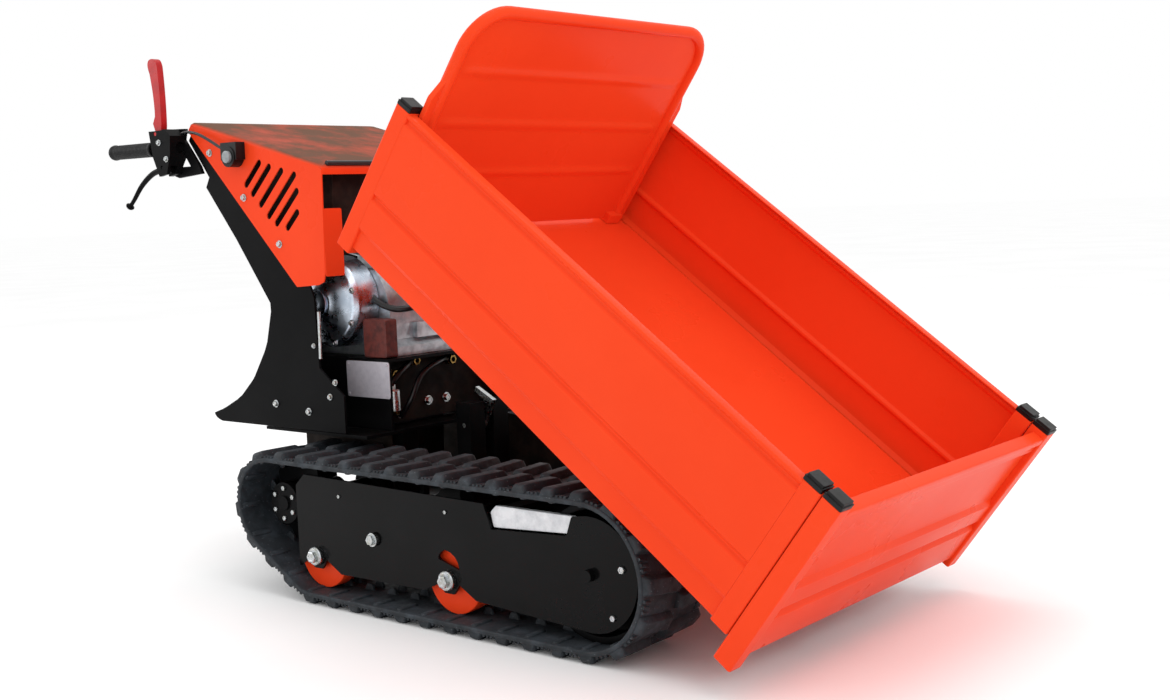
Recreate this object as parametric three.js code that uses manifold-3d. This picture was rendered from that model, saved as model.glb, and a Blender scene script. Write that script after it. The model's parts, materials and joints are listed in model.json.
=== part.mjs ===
// Tracked power wheelbarrow (walk-behind mini dumper) with a tipping, extendable tub.
// Millimetres. +X is forward, +Y is the operator's left, +Z is up, and the ground is Z = 0.
// The tub is shown fully tipped. It turns about the tip hinge to lie level behind the handles.
import * as THREE from 'three';
import { mergeVertices } from 'three/addons/utils/BufferGeometryUtils.js';
import Module from 'manifold-3d';

const wasm = await Module();
wasm.setup();

// ---------------------------------------------------------------- driving dimensions
const GAP = 0.3;
const SIDES = [['right', -1], ['left', 1]];

// Tub, in its own frame: U along its length, Y across, W square to its floor.
const TIP_ANGLE = THREE.MathUtils.degToRad(36.4);
const TUB_HEIGHT = 645;
const TUB_LENGTH = 1007;
const TUB_HALF = 366.5;
const TUB_TOP = 310;
const POST = 34;
const POST_DEPTH = 32;
const POST_WALL = 3;
const PANEL_SHEET = 2.5;
const PANEL_LOW = 40;
const PANEL_INNER = 347.5;
const FLOOR_TOP = 80;
const FLOOR_THICK = 4;
const SEAT_TOP = 78.5;
const SEAT_END = 64;
const FRAME_LOW = 44;
const HINGE_U = 550;
const HINGE_W = 60;
const PIN_R = 8;
const SLIDE_U = [150, 880];
const SLIDE_SIZE = 25;
const SLEEVE_SIZE = 32;
const SLIDE_W = 60;
const FRONT_SLIDE_Y = 120;
const FRONT_SLIDE_W = 26;
const SLIDE_PLAY = 0.6;
const HEADBOARD_U = 42;
const HEADBOARD_HALF = 340;
const HEADBOARD_TOP = 522;
const HEADBOARD_TUBE = 11;
const HEADBOARD_CORNER = 72;
const CAP_HEIGHT = 12;
const STRIKER = { u: 36, w: 34, r: 6 };

// Tracks.
const TRACK_IN = 165;
const TRACK_OUT = 345;
const TRACK_MID = (TRACK_IN + TRACK_OUT) / 2;
const LUG = 12;
const BELT = 10;
const LUG_PITCH = 60;
const LUG_PHASE = 0.72;
const SPROCKET = { x: -243, z: 172, r: 84 };
const IDLER = { x: 517, z: 137, r: 115 };
const ROLLERS = [['rear', -138], ['middle', 203]];
const ROLLER_Z = 86;
const ROLLER_R = 64;
const WHEEL_HALF = 48;
const AXLE_R = 10;
const SPROCKET_TEETH = 9;
const PLATE_Y = 311.5;
const PLATE_THICK = 5;
const BEAM_Y = 191.3;
const BEAM_THICK = 6;

// Chassis.
const RAIL_IN = 100;
const RAIL_OUT = 140;
const RAIL_LOW = 110;
const RAIL_TOP = 145;
const RAIL_WALL = 4;
const DECK_Z = 296;
const DECK_THICK = 6;
const COLUMN_Y = 236;
const COLUMN_THICK = 5;
const REST_TOP = 345;
const MOUNT_Y = 160;
const MOUNT_TOP = 438;
const LATCH = { x: -4, z: 302, open: THREE.MathUtils.degToRad(28) };

// Hood and handles.
const HOOD_Y = 242;
const SHEET = 2.5;
const HANDLE_Y = 258;
const HANDLE_Z = 861;
const HANDLE_R = 11;
const CLUTCH_PIVOT = { x: -612, z: 890 };
const STEER_PIVOT = { x: -596, z: 822 };
const BRACE = { x: -400, z: 655, r: 10 };

// Drive.
const CRANK = { x: -240, z: 545 };
const INPUT = { x: -215, z: 385 };
const CASE_TOP = 604;
const PULLEY_Y = 195;
const ENGINE_PULLEY_R = 35;
const GEARBOX_PULLEY_R = 68;
const BELT_HALF = 6;
const V_BELT = 7;
const ARM_ROOT = { x: -330, z: 420 };
const ARM_TIP = { x: -330, z: 486 };

// ---------------------------------------------------------------- solids
function outward(geometry) {
  // Merges the corners and turns an inside-out mesh the right way round.
  const bare = geometry.clone();
  bare.deleteAttribute('normal');
  bare.deleteAttribute('uv');
  const merged = mergeVertices(bare, 1e-4);
  const p = merged.attributes.position;
  const index = merged.index.array;
  const a = new THREE.Vector3();
  const b = new THREE.Vector3();
  const c = new THREE.Vector3();
  let volume = 0;
  for (let i = 0; i < index.length; i += 3) {
    a.fromBufferAttribute(p, index[i]);
    b.fromBufferAttribute(p, index[i + 1]);
    c.fromBufferAttribute(p, index[i + 2]);
    volume += a.dot(b.cross(c));
  }
  if (volume < 0) {
    for (let i = 0; i < index.length; i += 3) {
      [index[i + 1], index[i + 2]] = [index[i + 2], index[i + 1]];
    }
  }
  return merged;
}

function toManifold(geometry) {
  const merged = outward(geometry);
  return new wasm.Manifold(new wasm.Mesh({
    numProp: 3,
    vertProperties: new Float32Array(merged.attributes.position.array),
    triVerts: new Uint32Array(merged.index.array),
  }));
}

function toGeometry(manifold) {
  const mesh = manifold.getMesh();
  const geometry = new THREE.BufferGeometry();
  geometry.setAttribute('position', new THREE.BufferAttribute(mesh.vertProperties, 3));
  geometry.setIndex(new THREE.BufferAttribute(mesh.triVerts, 1));
  geometry.computeVertexNormals();
  return geometry;
}

function join(...pieces) {
  return toGeometry(pieces.map(toManifold).reduce((whole, piece) => whole.add(piece)));
}

function cut(base, ...tools) {
  return toGeometry(tools.map(toManifold).reduce((whole, tool) => whole.subtract(tool), toManifold(base)));
}

function box(x0, x1, y0, y1, z0, z1) {
  const geometry = new THREE.BoxGeometry(Math.abs(x1 - x0), Math.abs(y1 - y0), Math.abs(z1 - z0));
  return geometry.translate((x0 + x1) / 2, (y0 + y1) / 2, (z0 + z1) / 2);
}

function polygon(points) {
  return new THREE.Shape(points.map(([x, y]) => new THREE.Vector2(x, y)));
}

function extrude(shape, depth, segments = 8) {
  return new THREE.ExtrudeGeometry(shape, { depth, bevelEnabled: false, curveSegments: segments });
}

// An outline drawn in X and Z, extruded along Y.
function prismY(shape, ya, yb, segments = 8) {
  const geometry = extrude(shape, Math.abs(yb - ya), segments);
  return geometry.rotateX(Math.PI / 2).translate(0, Math.max(ya, yb), 0);
}

// An outline drawn in Y and Z, extruded along X.
function prismX(shape, xa, xb, segments = 8) {
  const geometry = extrude(shape, Math.abs(xb - xa), segments);
  const turn = new THREE.Matrix4().makeBasis(
    new THREE.Vector3(0, 1, 0), new THREE.Vector3(0, 0, 1), new THREE.Vector3(1, 0, 0));
  return geometry.applyMatrix4(turn).translate(Math.min(xa, xb), 0, 0);
}

function rodY(x, z, r, ya, yb, segments = 20) {
  const geometry = new THREE.CylinderGeometry(r, r, Math.abs(yb - ya), segments);
  return geometry.translate(x, (ya + yb) / 2, z);
}

function rodX(y, z, r, xa, xb, segments = 16) {
  const geometry = new THREE.CylinderGeometry(r, r, Math.abs(xb - xa), segments).rotateZ(Math.PI / 2);
  return geometry.translate((xa + xb) / 2, y, z);
}

// A profile of [radius, y] points turned about a Y axis through x, z.
function turned(profile, x, z, segments = 28) {
  const points = profile.map(([r, y]) => new THREE.Vector2(r, y));
  return outward(new THREE.LatheGeometry(points, segments)).translate(x, 0, z);
}

// A round bar carried along a curve through the given points.
function bar(points, r, sides = 8, steps = 24, tension = 0.5) {
  const stations = points.map((p) => new THREE.Vector3(...p));
  const path = new THREE.CatmullRomCurve3(stations, false, 'catmullrom', tension);
  const section = [];
  for (let i = 0; i < sides; i += 1) {
    const angle = (2 * Math.PI * i) / sides;
    section.push([r * Math.cos(angle), r * Math.sin(angle)]);
  }
  return outward(new THREE.ExtrudeGeometry(polygon(section), { extrudePath: path, steps }));
}

// ---------------------------------------------------------------- belt loops
// A belt round circles given counter-clockwise as seen with X right and Z up: straight runs
// between their outer tangents, and an arc on each circle.
function loopPieces(circles) {
  const tangents = circles.map((from, i) => {
    const to = circles[(i + 1) % circles.length];
    const dx = to.x - from.x;
    const dz = to.z - from.z;
    const distance = Math.hypot(dx, dz);
    return Math.atan2(dz, dx) - Math.acos((from.r - to.r) / distance);
  });
  const pieces = [];
  circles.forEach((from, i) => {
    const arrive = tangents[(i + circles.length - 1) % circles.length];
    const leave = tangents[i];
    const sweep = ((leave - arrive) % (2 * Math.PI) + 2 * Math.PI) % (2 * Math.PI);
    pieces.push({ arc: true, circle: from, start: arrive, sweep, length: from.r * sweep });
    const to = circles[(i + 1) % circles.length];
    const a = [from.x + from.r * Math.cos(leave), from.z + from.r * Math.sin(leave)];
    const b = [to.x + to.r * Math.cos(leave), to.z + to.r * Math.sin(leave)];
    pieces.push({ arc: false, a, b, normal: leave, length: Math.hypot(b[0] - a[0], b[1] - a[1]) });
  });
  return pieces;
}

function loopPoint(pieces, distance, offset) {
  let left = distance;
  for (const piece of pieces) {
    if (left > piece.length) {
      left -= piece.length;
      continue;
    }
    const t = left / piece.length;
    if (piece.arc) {
      const angle = piece.start + piece.sweep * t;
      const r = piece.circle.r + offset;
      return [piece.circle.x + r * Math.cos(angle), piece.circle.z + r * Math.sin(angle)];
    }
    const x = piece.a[0] + (piece.b[0] - piece.a[0]) * t + offset * Math.cos(piece.normal);
    const z = piece.a[1] + (piece.b[1] - piece.a[1]) * t + offset * Math.sin(piece.normal);
    return [x, z];
  }
  return loopPoint(pieces, distance - loopLengthOf(pieces), offset);
}

function loopLengthOf(pieces) {
  return pieces.reduce((sum, piece) => sum + piece.length, 0);
}

// Points along the loop where arcs are stepped and straight runs have only their ends.
function loopOutline(circles, offset, step) {
  const points = [];
  for (const piece of loopPieces(circles)) {
    const count = piece.arc ? Math.max(1, Math.round(piece.length / step)) : 1;
    for (let i = 0; i < count; i += 1) {
      points.push(loopPoint([piece], piece.length * (i / count), offset));
    }
  }
  return points;
}

// ---------------------------------------------------------------- scene graph
const machine = new THREE.Group();
const tub = new THREE.Group();
tub.position.set(0, 0, TUB_HEIGHT);
tub.rotation.y = TIP_ANGLE;
machine.add(tub);

const PAINT = { color: 0xf1462a, roughness: 0.35, metalness: 0.0 };
const BLACK = { color: 0x1c1c1e, roughness: 0.5, metalness: 0.1 };
const RUBBER = { color: 0x26282a, roughness: 0.85, metalness: 0.0 };
const ZINC = { color: 0xb9bcc0, roughness: 0.35, metalness: 0.9 };
const ALLOY = { color: 0xa9afb5, roughness: 0.4, metalness: 0.8 };
const PLASTIC = { color: 0x18181a, roughness: 0.55, metalness: 0.0 };
const RED = { color: 0xcf2f2f, roughness: 0.4, metalness: 0.0 };
const GREY = { color: 0x8c9094, roughness: 0.5, metalness: 0.3 };

function add(parent, name, geometry, look) {
  const mesh = new THREE.Mesh(geometry, new THREE.MeshStandardMaterial(look));
  mesh.name = name;
  parent.add(mesh);
}

// A point of the tub's frame in the machine's frame, as [x, z].
function tubPoint(u, w) {
  return [
    u * Math.cos(TIP_ANGLE) + w * Math.sin(TIP_ANGLE),
    TUB_HEIGHT - u * Math.sin(TIP_ANGLE) + w * Math.cos(TIP_ANGLE),
  ];
}

const [HINGE_X, HINGE_Z] = tubPoint(HINGE_U, HINGE_W);

// ---------------------------------------------------------------- tub
function squareBar(u, w, ya, yb, size) {
  return box(u - size / 2, u + size / 2, ya, yb, w - size / 2, w + size / 2);
}

function tubFloor() {
  const inner = TUB_HALF - POST_DEPTH - 1.5;
  const wide = PANEL_INNER - 1;
  const back = POST + 2;
  const front = TUB_LENGTH - 2 * POST - 6;
  const end = TUB_LENGTH - POST - 5;
  const pan = polygon([
    [2, -inner], [back, -inner], [back, -wide], [front, -wide], [front, -inner], [end, -inner],
    [end, inner], [front, inner], [front, wide], [back, wide], [back, inner], [2, inner],
  ]);
  const pieces = [extrude(pan, FLOOR_THICK).translate(0, 0, FLOOR_TOP - FLOOR_THICK)];
  pieces.push(box(2, 40, -inner, inner, FRAME_LOW, FLOOR_TOP - 1));
  pieces.push(box(end - 30, end, -inner, inner, FRAME_LOW + 8, FLOOR_TOP - 1));
  for (const u of SLIDE_U) {
    pieces.push(squareBar(u, SLIDE_W, -inner, inner, SLEEVE_SIZE + 1));
  }
  for (const side of [-1, 1]) {
    const y = side * FRONT_SLIDE_Y;
    pieces.push(box(30, end, y - 16, y + 16, 42, FLOOR_TOP - 1));
    pieces.push(box(620, end, y - 16, y + 16, FRONT_SLIDE_W - 16, 43));
    pieces.push(box(HINGE_U - 16, HINGE_U + 16, side * 125, side * 137, HINGE_W - 16, FLOOR_TOP - 1));
    pieces.push(box(STRIKER.u - 7, STRIKER.u + 7, side * 16, side * 24, STRIKER.w - 7, FRAME_LOW + 4));
  }
  pieces.push(rodY(STRIKER.u, STRIKER.w, STRIKER.r, -22, 22, 12));
  const bore = SLIDE_SIZE + 2 * SLIDE_PLAY;
  const tools = SLIDE_U.map((u) => squareBar(u, SLIDE_W, -TUB_HALF, TUB_HALF, bore));
  for (const side of [-1, 1]) {
    const y = side * FRONT_SLIDE_Y;
    const low = FRONT_SLIDE_W - bore / 2;
    tools.push(box(600, TUB_LENGTH, y - bore / 2, y + bore / 2, low, low + bore));
  }
  for (const y of [-FRONT_SLIDE_Y, FRONT_SLIDE_Y]) {
    tools.push(box(60, HINGE_U - 40, y - 12, y + 12, 38, FLOOR_TOP - FLOOR_THICK - 1));
  }
  tools.push(rodY(HINGE_U, HINGE_W, PIN_R + 0.4, -200, 200, 24));
  tools.push(box(-10, 60, -14, 14, FRAME_LOW - 1, 68));
  tools.push(box(-10, SEAT_END, -TUB_HALF, TUB_HALF, SEAT_TOP, FLOOR_TOP + 5));
  return cut(join(...pieces), ...tools);
}

// A pressed sheet of one thickness with a flange along its bottom and its top edge. The face is a
// list of [depth, w] points from the bottom up, and the flanges reach back to flangeDepth.
function pressedSection(face, flangeDepth) {
  const [low, high] = [face[0][1], face[face.length - 1][1]];
  const back = face.map(([depth, w]) => [depth - PANEL_SHEET, w]).reverse();
  back[0][1] = high - PANEL_SHEET;
  back[back.length - 1][1] = low + PANEL_SHEET;
  return [
    [flangeDepth, low], ...face, [flangeDepth, high], [flangeDepth, high - PANEL_SHEET], ...back,
    [flangeDepth, low + PANEL_SHEET],
  ];
}

// A square tube post, open at both ends, and the tool that hollows it.
function post(u, side, low) {
  const [ya, yb] = [side * (TUB_HALF - POST_DEPTH), side * TUB_HALF];
  const inset = side * POST_WALL;
  return {
    solid: box(u, u + POST, ya, yb, low, TUB_TOP),
    hollow: box(u + POST_WALL, u + POST - POST_WALL, ya + inset, yb - inset, low - 5, TUB_TOP + 5),
  };
}

function sidePanel(side) {
  const out = TUB_HALF - 0.5;
  const groove = out - 4;
  const crease = out - 2.2;
  const face = [
    [groove, PANEL_LOW], [groove, 78], [out, 85], [out, 141], [crease, 144], [crease, 148], [out, 151],
    [out, 291], [crease, 294], [crease, 298], [out, 301], [out, TUB_TOP - 2],
  ];
  const section = pressedSection(face, PANEL_INNER).map(([y, w]) => [side * y, w]);
  const front = TUB_LENGTH - POST - 3;
  const posts = [post(0, side, 29), post(front - POST, side, PANEL_LOW - 1)];
  const hollow = cut(join(...posts.map((one) => one.solid)), ...posts.map((one) => one.hollow));
  const sheet = prismX(polygon(section), POST - 1, front - POST + 1);
  const bars = SLIDE_U.map((u) => squareBar(u, SLIDE_W, side * 100, side * (groove - 1), SLIDE_SIZE));
  return join(hollow, sheet, ...bars);
}

function frontPanel() {
  const back = TUB_LENGTH - POST;
  const half = TUB_HALF - POST_DEPTH + 1;
  const out = TUB_LENGTH - 5;
  const groove = out - 4;
  const face = [
    [out, 14], [out, 88], [groove, 93], [groove, 99], [out, 104], [out, 146], [groove, 153], [groove, 262],
    [out, 269], [out, 284], [TUB_LENGTH - 1, 288], [TUB_LENGTH - 1, 300],
  ];
  const posts = [-1, 1].map((side) => post(back, side, -3));
  const hollow = cut(join(...posts.map((one) => one.solid)), ...posts.map((one) => one.hollow));
  const low = FRONT_SLIDE_W - SLIDE_SIZE / 2;
  const bars = [-1, 1].map((side) => {
    const y = side * FRONT_SLIDE_Y;
    return box(650, groove - 1, y - SLIDE_SIZE / 2, y + SLIDE_SIZE / 2, low, low + SLIDE_SIZE);
  });
  return join(hollow, prismY(polygon(pressedSection(face, out - 18)), -half, half), ...bars);
}

function headboardFrame() {
  const r = HEADBOARD_TUBE;
  const low = FLOOR_TOP + r + 1;
  const half = HEADBOARD_HALF - 8 - r;
  const corner = HEADBOARD_CORNER;
  const top = HEADBOARD_TOP - r;
  const path = new THREE.CurvePath();
  const at = (y, w) => new THREE.Vector3(HEADBOARD_U, y, w);
  const bend = (side) => [
    at(side * half, top - corner), at(side * half, top - corner * 0.45),
    at(side * (half - corner * 0.45), top), at(side * (half - corner), top),
  ];
  path.add(new THREE.LineCurve3(at(-half, low), at(-half, top - corner)));
  path.add(new THREE.CubicBezierCurve3(...bend(-1)));
  path.add(new THREE.LineCurve3(at(-half + corner, top), at(half - corner, top)));
  path.add(new THREE.CubicBezierCurve3(...bend(1).reverse()));
  path.add(new THREE.LineCurve3(at(half, top - corner), at(half, low)));
  const section = [];
  for (let i = 0; i < 8; i += 1) {
    const angle = (2 * Math.PI * i) / 8;
    section.push([r * Math.cos(angle), r * Math.sin(angle)]);
  }
  const tube = new THREE.ExtrudeGeometry(polygon(section), { extrudePath: path, steps: 36 });
  const feet = [-1, 1].map((side) => box(
    HEADBOARD_U - 20, HEADBOARD_U + 16, side * (half - 34), side * (half + 6),
    SEAT_TOP + GAP, FLOOR_TOP + 20));
  const brackets = [-1, 1].map((side) => {
    const edge = PANEL_INNER - 2;
    const low = SEAT_TOP + GAP;
    const outline = [[half, low], [edge, low], [edge, 347], [half + 8, 384], [half, 384]];
    return prismX(polygon(outline.map(([y, w]) => [side * y, w])), HEADBOARD_U - 5, HEADBOARD_U + 6);
  });
  return join(tube, ...feet, ...brackets);
}

function headboardSheet() {
  // A pressed sheet inside the tube, with three raised ribs across it.
  const r = HEADBOARD_TUBE;
  const half = HEADBOARD_HALF - 8 - 2 * r - 1;
  const top = HEADBOARD_TOP - 2 * r - 1;
  const low = FLOOR_TOP + 24;
  const corner = HEADBOARD_CORNER;
  const outline = new THREE.Shape();
  outline.moveTo(-half, low);
  outline.lineTo(half, low);
  outline.lineTo(half, top - corner);
  outline.bezierCurveTo(half, top - corner * 0.5, half - corner * 0.5, top, half - corner, top);
  outline.lineTo(-half + corner, top);
  outline.bezierCurveTo(-half + corner * 0.5, top, -half, top - corner * 0.5, -half, top - corner);
  const u = HEADBOARD_U;
  const pieces = [prismX(outline, u - 1.5, u + 1.5, 6)];
  for (const w of [200, 300, 400]) {
    const rib = polygon([[u - 1, w - 14], [u + 7, w - 6], [u + 7, w + 6], [u - 1, w + 14]]);
    pieces.push(prismY(rib, -half + 30, half - 30));
  }
  return join(...pieces);
}

function cap(u0, u1, side) {
  const ya = side * (TUB_HALF - POST_DEPTH);
  const yb = side * TUB_HALF;
  const low = TUB_TOP + GAP;
  const flat = box(u0, u1, ya, yb, low, low + CAP_HEIGHT * 0.6);
  const crown = box(u0 + 2, u1 - 2, ya + side * 2, yb - side * 2, low + 1, low + CAP_HEIGHT);
  return join(flat, crown);
}

add(tub, 'tub_floor', tubFloor(), PAINT);
add(tub, 'headboard_frame', headboardFrame(), PAINT);
add(tub, 'headboard_sheet', headboardSheet(), PAINT);
add(tub, 'front_panel', frontPanel(), PAINT);
for (const [name, side] of SIDES) {
  add(tub, `side_panel_${name}`, sidePanel(side), PAINT);
  add(tub, `post_cap_rear_${name}`, cap(0, POST, side), PLASTIC);
  add(tub, `post_cap_front_${name}`, cap(TUB_LENGTH - 2 * POST - 3, TUB_LENGTH - POST - 3, side), PLASTIC);
  add(tub, `front_panel_cap_${name}`, cap(TUB_LENGTH - POST, TUB_LENGTH, side), PLASTIC);
}

// ---------------------------------------------------------------- chassis
function chassisFrame() {
  const pieces = [];
  for (const side of [-1, 1]) {
    pieces.push(box(-356, 505, side * RAIL_IN, side * RAIL_OUT, RAIL_LOW, RAIL_TOP));
    for (const [a, b] of [[-356, -326], [-112, -84]]) {
      pieces.push(box(a, b, side * RAIL_IN, side * RAIL_OUT, RAIL_TOP - 2, DECK_Z + 2));
    }
    const upright = new THREE.Shape();
    upright.moveTo(HINGE_X - 60, RAIL_LOW);
    upright.lineTo(HINGE_X + 26, RAIL_LOW);
    upright.lineTo(HINGE_X + 14, HINGE_Z);
    upright.absarc(HINGE_X, HINGE_Z, 14, 0, Math.PI);
    upright.lineTo(HINGE_X - 60, RAIL_TOP + 30);
    pieces.push(prismY(upright, side * 138.5, side * 151));
    pieces.push(box(-22, 14, side * 12, side * 54, RAIL_LOW + 4, REST_TOP));
  }
  pieces.push(box(-30, 22, -RAIL_IN - 2, RAIL_IN + 2, RAIL_LOW, RAIL_TOP));
  for (const x of [60, 350]) {
    pieces.push(box(x - 18, x + 18, -BEAM_Y + GAP, BEAM_Y - GAP, RAIL_LOW + 4, RAIL_TOP - 4));
  }
  pieces.push(box(-372, -78, -COLUMN_Y + GAP, COLUMN_Y - GAP, DECK_Z, DECK_Z + DECK_THICK));
  const tools = [-1, 1].map((side) => box(
    -360, 510, side * (RAIL_IN + RAIL_WALL), side * (RAIL_OUT - RAIL_WALL),
    RAIL_LOW + RAIL_WALL, RAIL_TOP - RAIL_WALL));
  tools.push(
    box(-310, -140, -RAIL_IN + 4, RAIL_IN - 4, DECK_Z - 5, DECK_Z + 10),
    rodY(HINGE_X, HINGE_Z, PIN_R + 0.3, -200, 200, 24),
    rodY(LATCH.x, LATCH.z, 5.3, -60, 60, 16),
  );
  return cut(join(...pieces), ...tools);
}

function hingePin() {
  return join(
    rodY(HINGE_X, HINGE_Z, PIN_R, -156, 156, 24),
    rodY(HINGE_X, HINGE_Z, PIN_R + 5, -158, -152, 24),
    rodY(HINGE_X, HINGE_Z, PIN_R + 5, 152, 158, 24),
  );
}

// The hook that holds the tub down by its striker bar, shown swung forward, open.
function tipLatch() {
  const hook = polygon([
    [-8, -9], [8, -9], [10, 30], [9, 56], [-42, 56], [-42, 46], [-12, 45], [-9, 12],
  ]);
  const plate = prismY(hook, -5, 5);
  const solid = join(plate, rodY(0, 0, 10, -5, 5, 16), rodY(0, 0, 5, -52, 52, 16));
  return solid.rotateY(LATCH.open).translate(LATCH.x, 0, LATCH.z);
}

function columnPlate(side) {
  const outline = new THREE.Shape();
  outline.moveTo(-545, 893);
  outline.lineTo(-214, 590);
  outline.lineTo(-200, 560);
  outline.lineTo(-195, 425);
  outline.lineTo(-130, 375);
  outline.lineTo(-130, 304);
  outline.lineTo(-505, 304);
  outline.quadraticCurveTo(-528, 308, -531, 320);
  outline.quadraticCurveTo(-445, 345, -405, 388);
  outline.quadraticCurveTo(-352, 440, -330, 520);
  outline.lineTo(-331, 548);
  outline.lineTo(-424, 672);
  outline.lineTo(-512, 778);
  outline.lineTo(-500, 798);
  outline.lineTo(-560, 874);
  return prismY(outline, side * COLUMN_Y, side * (COLUMN_Y + COLUMN_THICK), 6);
}

// A bent sheet that closes the back between the columns and ends in a foot guard.
function rearShield() {
  const outer = [[-336, 540], [-358, 462], [-404, 396], [-450, 356], [-522, 322], [-506, 308], [-376, 308]];
  const inner = [[-376, 311], [-503, 311], [-512, 320], [-448, 352], [-401, 393], [-355, 460.5], [-333, 539]];
  return prismY(polygon([...outer, ...inner]), -COLUMN_Y + 1, COLUMN_Y - 1);
}

// The raised bench on the deck that carries the engine over the gearbox.
function engineBench() {
  const low = DECK_Z + DECK_THICK + GAP;
  const pieces = [box(-345, -84, -MOUNT_Y - 6, MOUNT_Y + 6, MOUNT_TOP - 6, MOUNT_TOP)];
  for (const side of [-1, 1]) {
    pieces.push(box(-345, -84, side * MOUNT_Y, side * (MOUNT_Y + 6), low, MOUNT_TOP - 1));
  }
  const tools = [
    rodY(INPUT.x, INPUT.z, 24, MOUNT_Y - 10, MOUNT_Y + 20, 20),
    box(-300, -130, MOUNT_Y - 10, MOUNT_Y + 20, low + 8, low + 20),
  ];
  return cut(join(...pieces), ...tools);
}

add(machine, 'chassis_frame', chassisFrame(), BLACK);
add(machine, 'hinge_pin', hingePin(), ZINC);
add(machine, 'tip_latch', tipLatch(), ZINC);
add(machine, 'engine_bench', engineBench(), BLACK);
add(machine, 'rear_shield', rearShield(), BLACK);
add(machine, 'column_brace', rodY(
  BRACE.x, BRACE.z, BRACE.r, -COLUMN_Y + GAP, COLUMN_Y - GAP, 16), BLACK);
for (const [name, side] of SIDES) {
  add(machine, `column_plate_${name}`, columnPlate(side), BLACK);
}

// ---------------------------------------------------------------- tracks
const TRACK_CIRCLES = [
  { x: IDLER.x, z: IDLER.z, r: IDLER.r },
  { x: SPROCKET.x, z: SPROCKET.z, r: SPROCKET.r },
  { x: ROLLERS[0][1], z: ROLLER_Z, r: ROLLER_R },
];

function trackBelt(side) {
  const pieces = loopPieces(TRACK_CIRCLES);
  const total = loopLengthOf(pieces);
  const count = Math.round(total / LUG_PITCH);
  const pitch = total / count;
  const lug = [[0.04, BELT], [0.12, BELT + LUG], [0.42, BELT + LUG], [0.5, BELT], [0.75, BELT]];
  const outline = [];
  for (let i = 0; i < count; i += 1) {
    for (const [part, height] of lug) {
      outline.push(loopPoint(pieces, (i + part + LUG_PHASE) * pitch, height));
    }
  }
  const shape = polygon(outline);
  shape.holes.push(polygon(loopOutline(TRACK_CIRCLES, 0, 14)));
  return prismY(shape, side * TRACK_IN, side * TRACK_OUT);
}

function trackBeam(side) {
  const outline = polygon([
    [-168, 70], [-150, 60], [540, 60], [560, 90], [560, 170], [470, 190], [-60, 190], [-168, 120],
  ]);
  const ya = side * BEAM_Y;
  const yb = side * (BEAM_Y + BEAM_THICK);
  const pieces = [prismY(outline, ya, yb)];
  pieces.push(box(-20, 290, side * (BEAM_Y + 4), side * (PLATE_Y - GAP), 172, 186));
  for (const [x, z] of [[ROLLERS[0][1], ROLLER_Z], [ROLLERS[1][1], ROLLER_Z], [IDLER.x, IDLER.z]]) {
    pieces.push(rodY(x, z, AXLE_R, side * (BEAM_Y + 2), side * 328, 16));
  }
  return join(...pieces);
}

// The outer plate of a track, notched so that the lower part of each road roller shows.
function trackSidePlate(side) {
  const outline = new THREE.Shape();
  const rear = -192;
  outline.moveTo(rear, 104);
  for (const [, x] of ROLLERS) {
    outline.lineTo(Math.max(x - 62, rear), 60);
    outline.lineTo(x - 26, 76);
    outline.lineTo(x - 12, 62);
    outline.lineTo(x + 10, 62);
    outline.lineTo(x + 24, 80);
    outline.lineTo(x + 62, 58);
  }
  outline.lineTo(500, 44);
  outline.absarc(IDLER.x, IDLER.z, 94, -Math.PI / 2, Math.PI / 2 + 0.2);
  outline.lineTo(482, 226);
  outline.lineTo(470, 194);
  outline.lineTo(306, 186);
  outline.lineTo(290, 228);
  outline.lineTo(rear + 24, 236);
  outline.lineTo(rear, 214);
  const ya = side * PLATE_Y;
  const yb = side * (PLATE_Y + PLATE_THICK);
  const x = ROLLERS[1][1];
  const drop = new THREE.Shape();
  drop.moveTo(x - 8, 138);
  drop.quadraticCurveTo(x - 26, 130, x - 24, 120);
  drop.lineTo(x + 26, 106);
  drop.quadraticCurveTo(x + 22, 134, x - 8, 138);
  const opening = prismY(drop, side * (PLATE_Y - 10), side * (PLATE_Y + 20), 4);
  const axles = [[ROLLERS[0][1], ROLLER_Z], [ROLLERS[1][1], ROLLER_Z], [IDLER.x, IDLER.z]].map(
    ([ax, az]) => rodY(ax, az, AXLE_R + 0.4, side * (PLATE_Y - 10), side * (PLATE_Y + 20), 14));
  return cut(prismY(outline, ya, yb, 10), opening, ...axles);
}

// A wheel with two treads and a groove between them that clears the guide horns.
function grooved(radius, groove, hub, bore, side) {
  const a = TRACK_MID - WHEEL_HALF;
  const b = TRACK_MID + WHEEL_HALF;
  const web = 9;
  const profile = [
    [bore, a + 4], [hub, a + 4], [hub, TRACK_MID - web], [radius - 14, TRACK_MID - web - 6],
    [radius - 14, a], [radius, a], [radius, TRACK_MID - 14], [groove, TRACK_MID - 10],
    [groove, TRACK_MID + 10], [radius, TRACK_MID + 14], [radius, b], [radius - 14, b],
    [radius - 14, TRACK_MID + web + 6], [hub, TRACK_MID + web], [hub, b - 4], [bore, b - 4], [bore, a + 4],
  ];
  return profile.map(([r, y]) => [r, side * y]);
}

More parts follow.
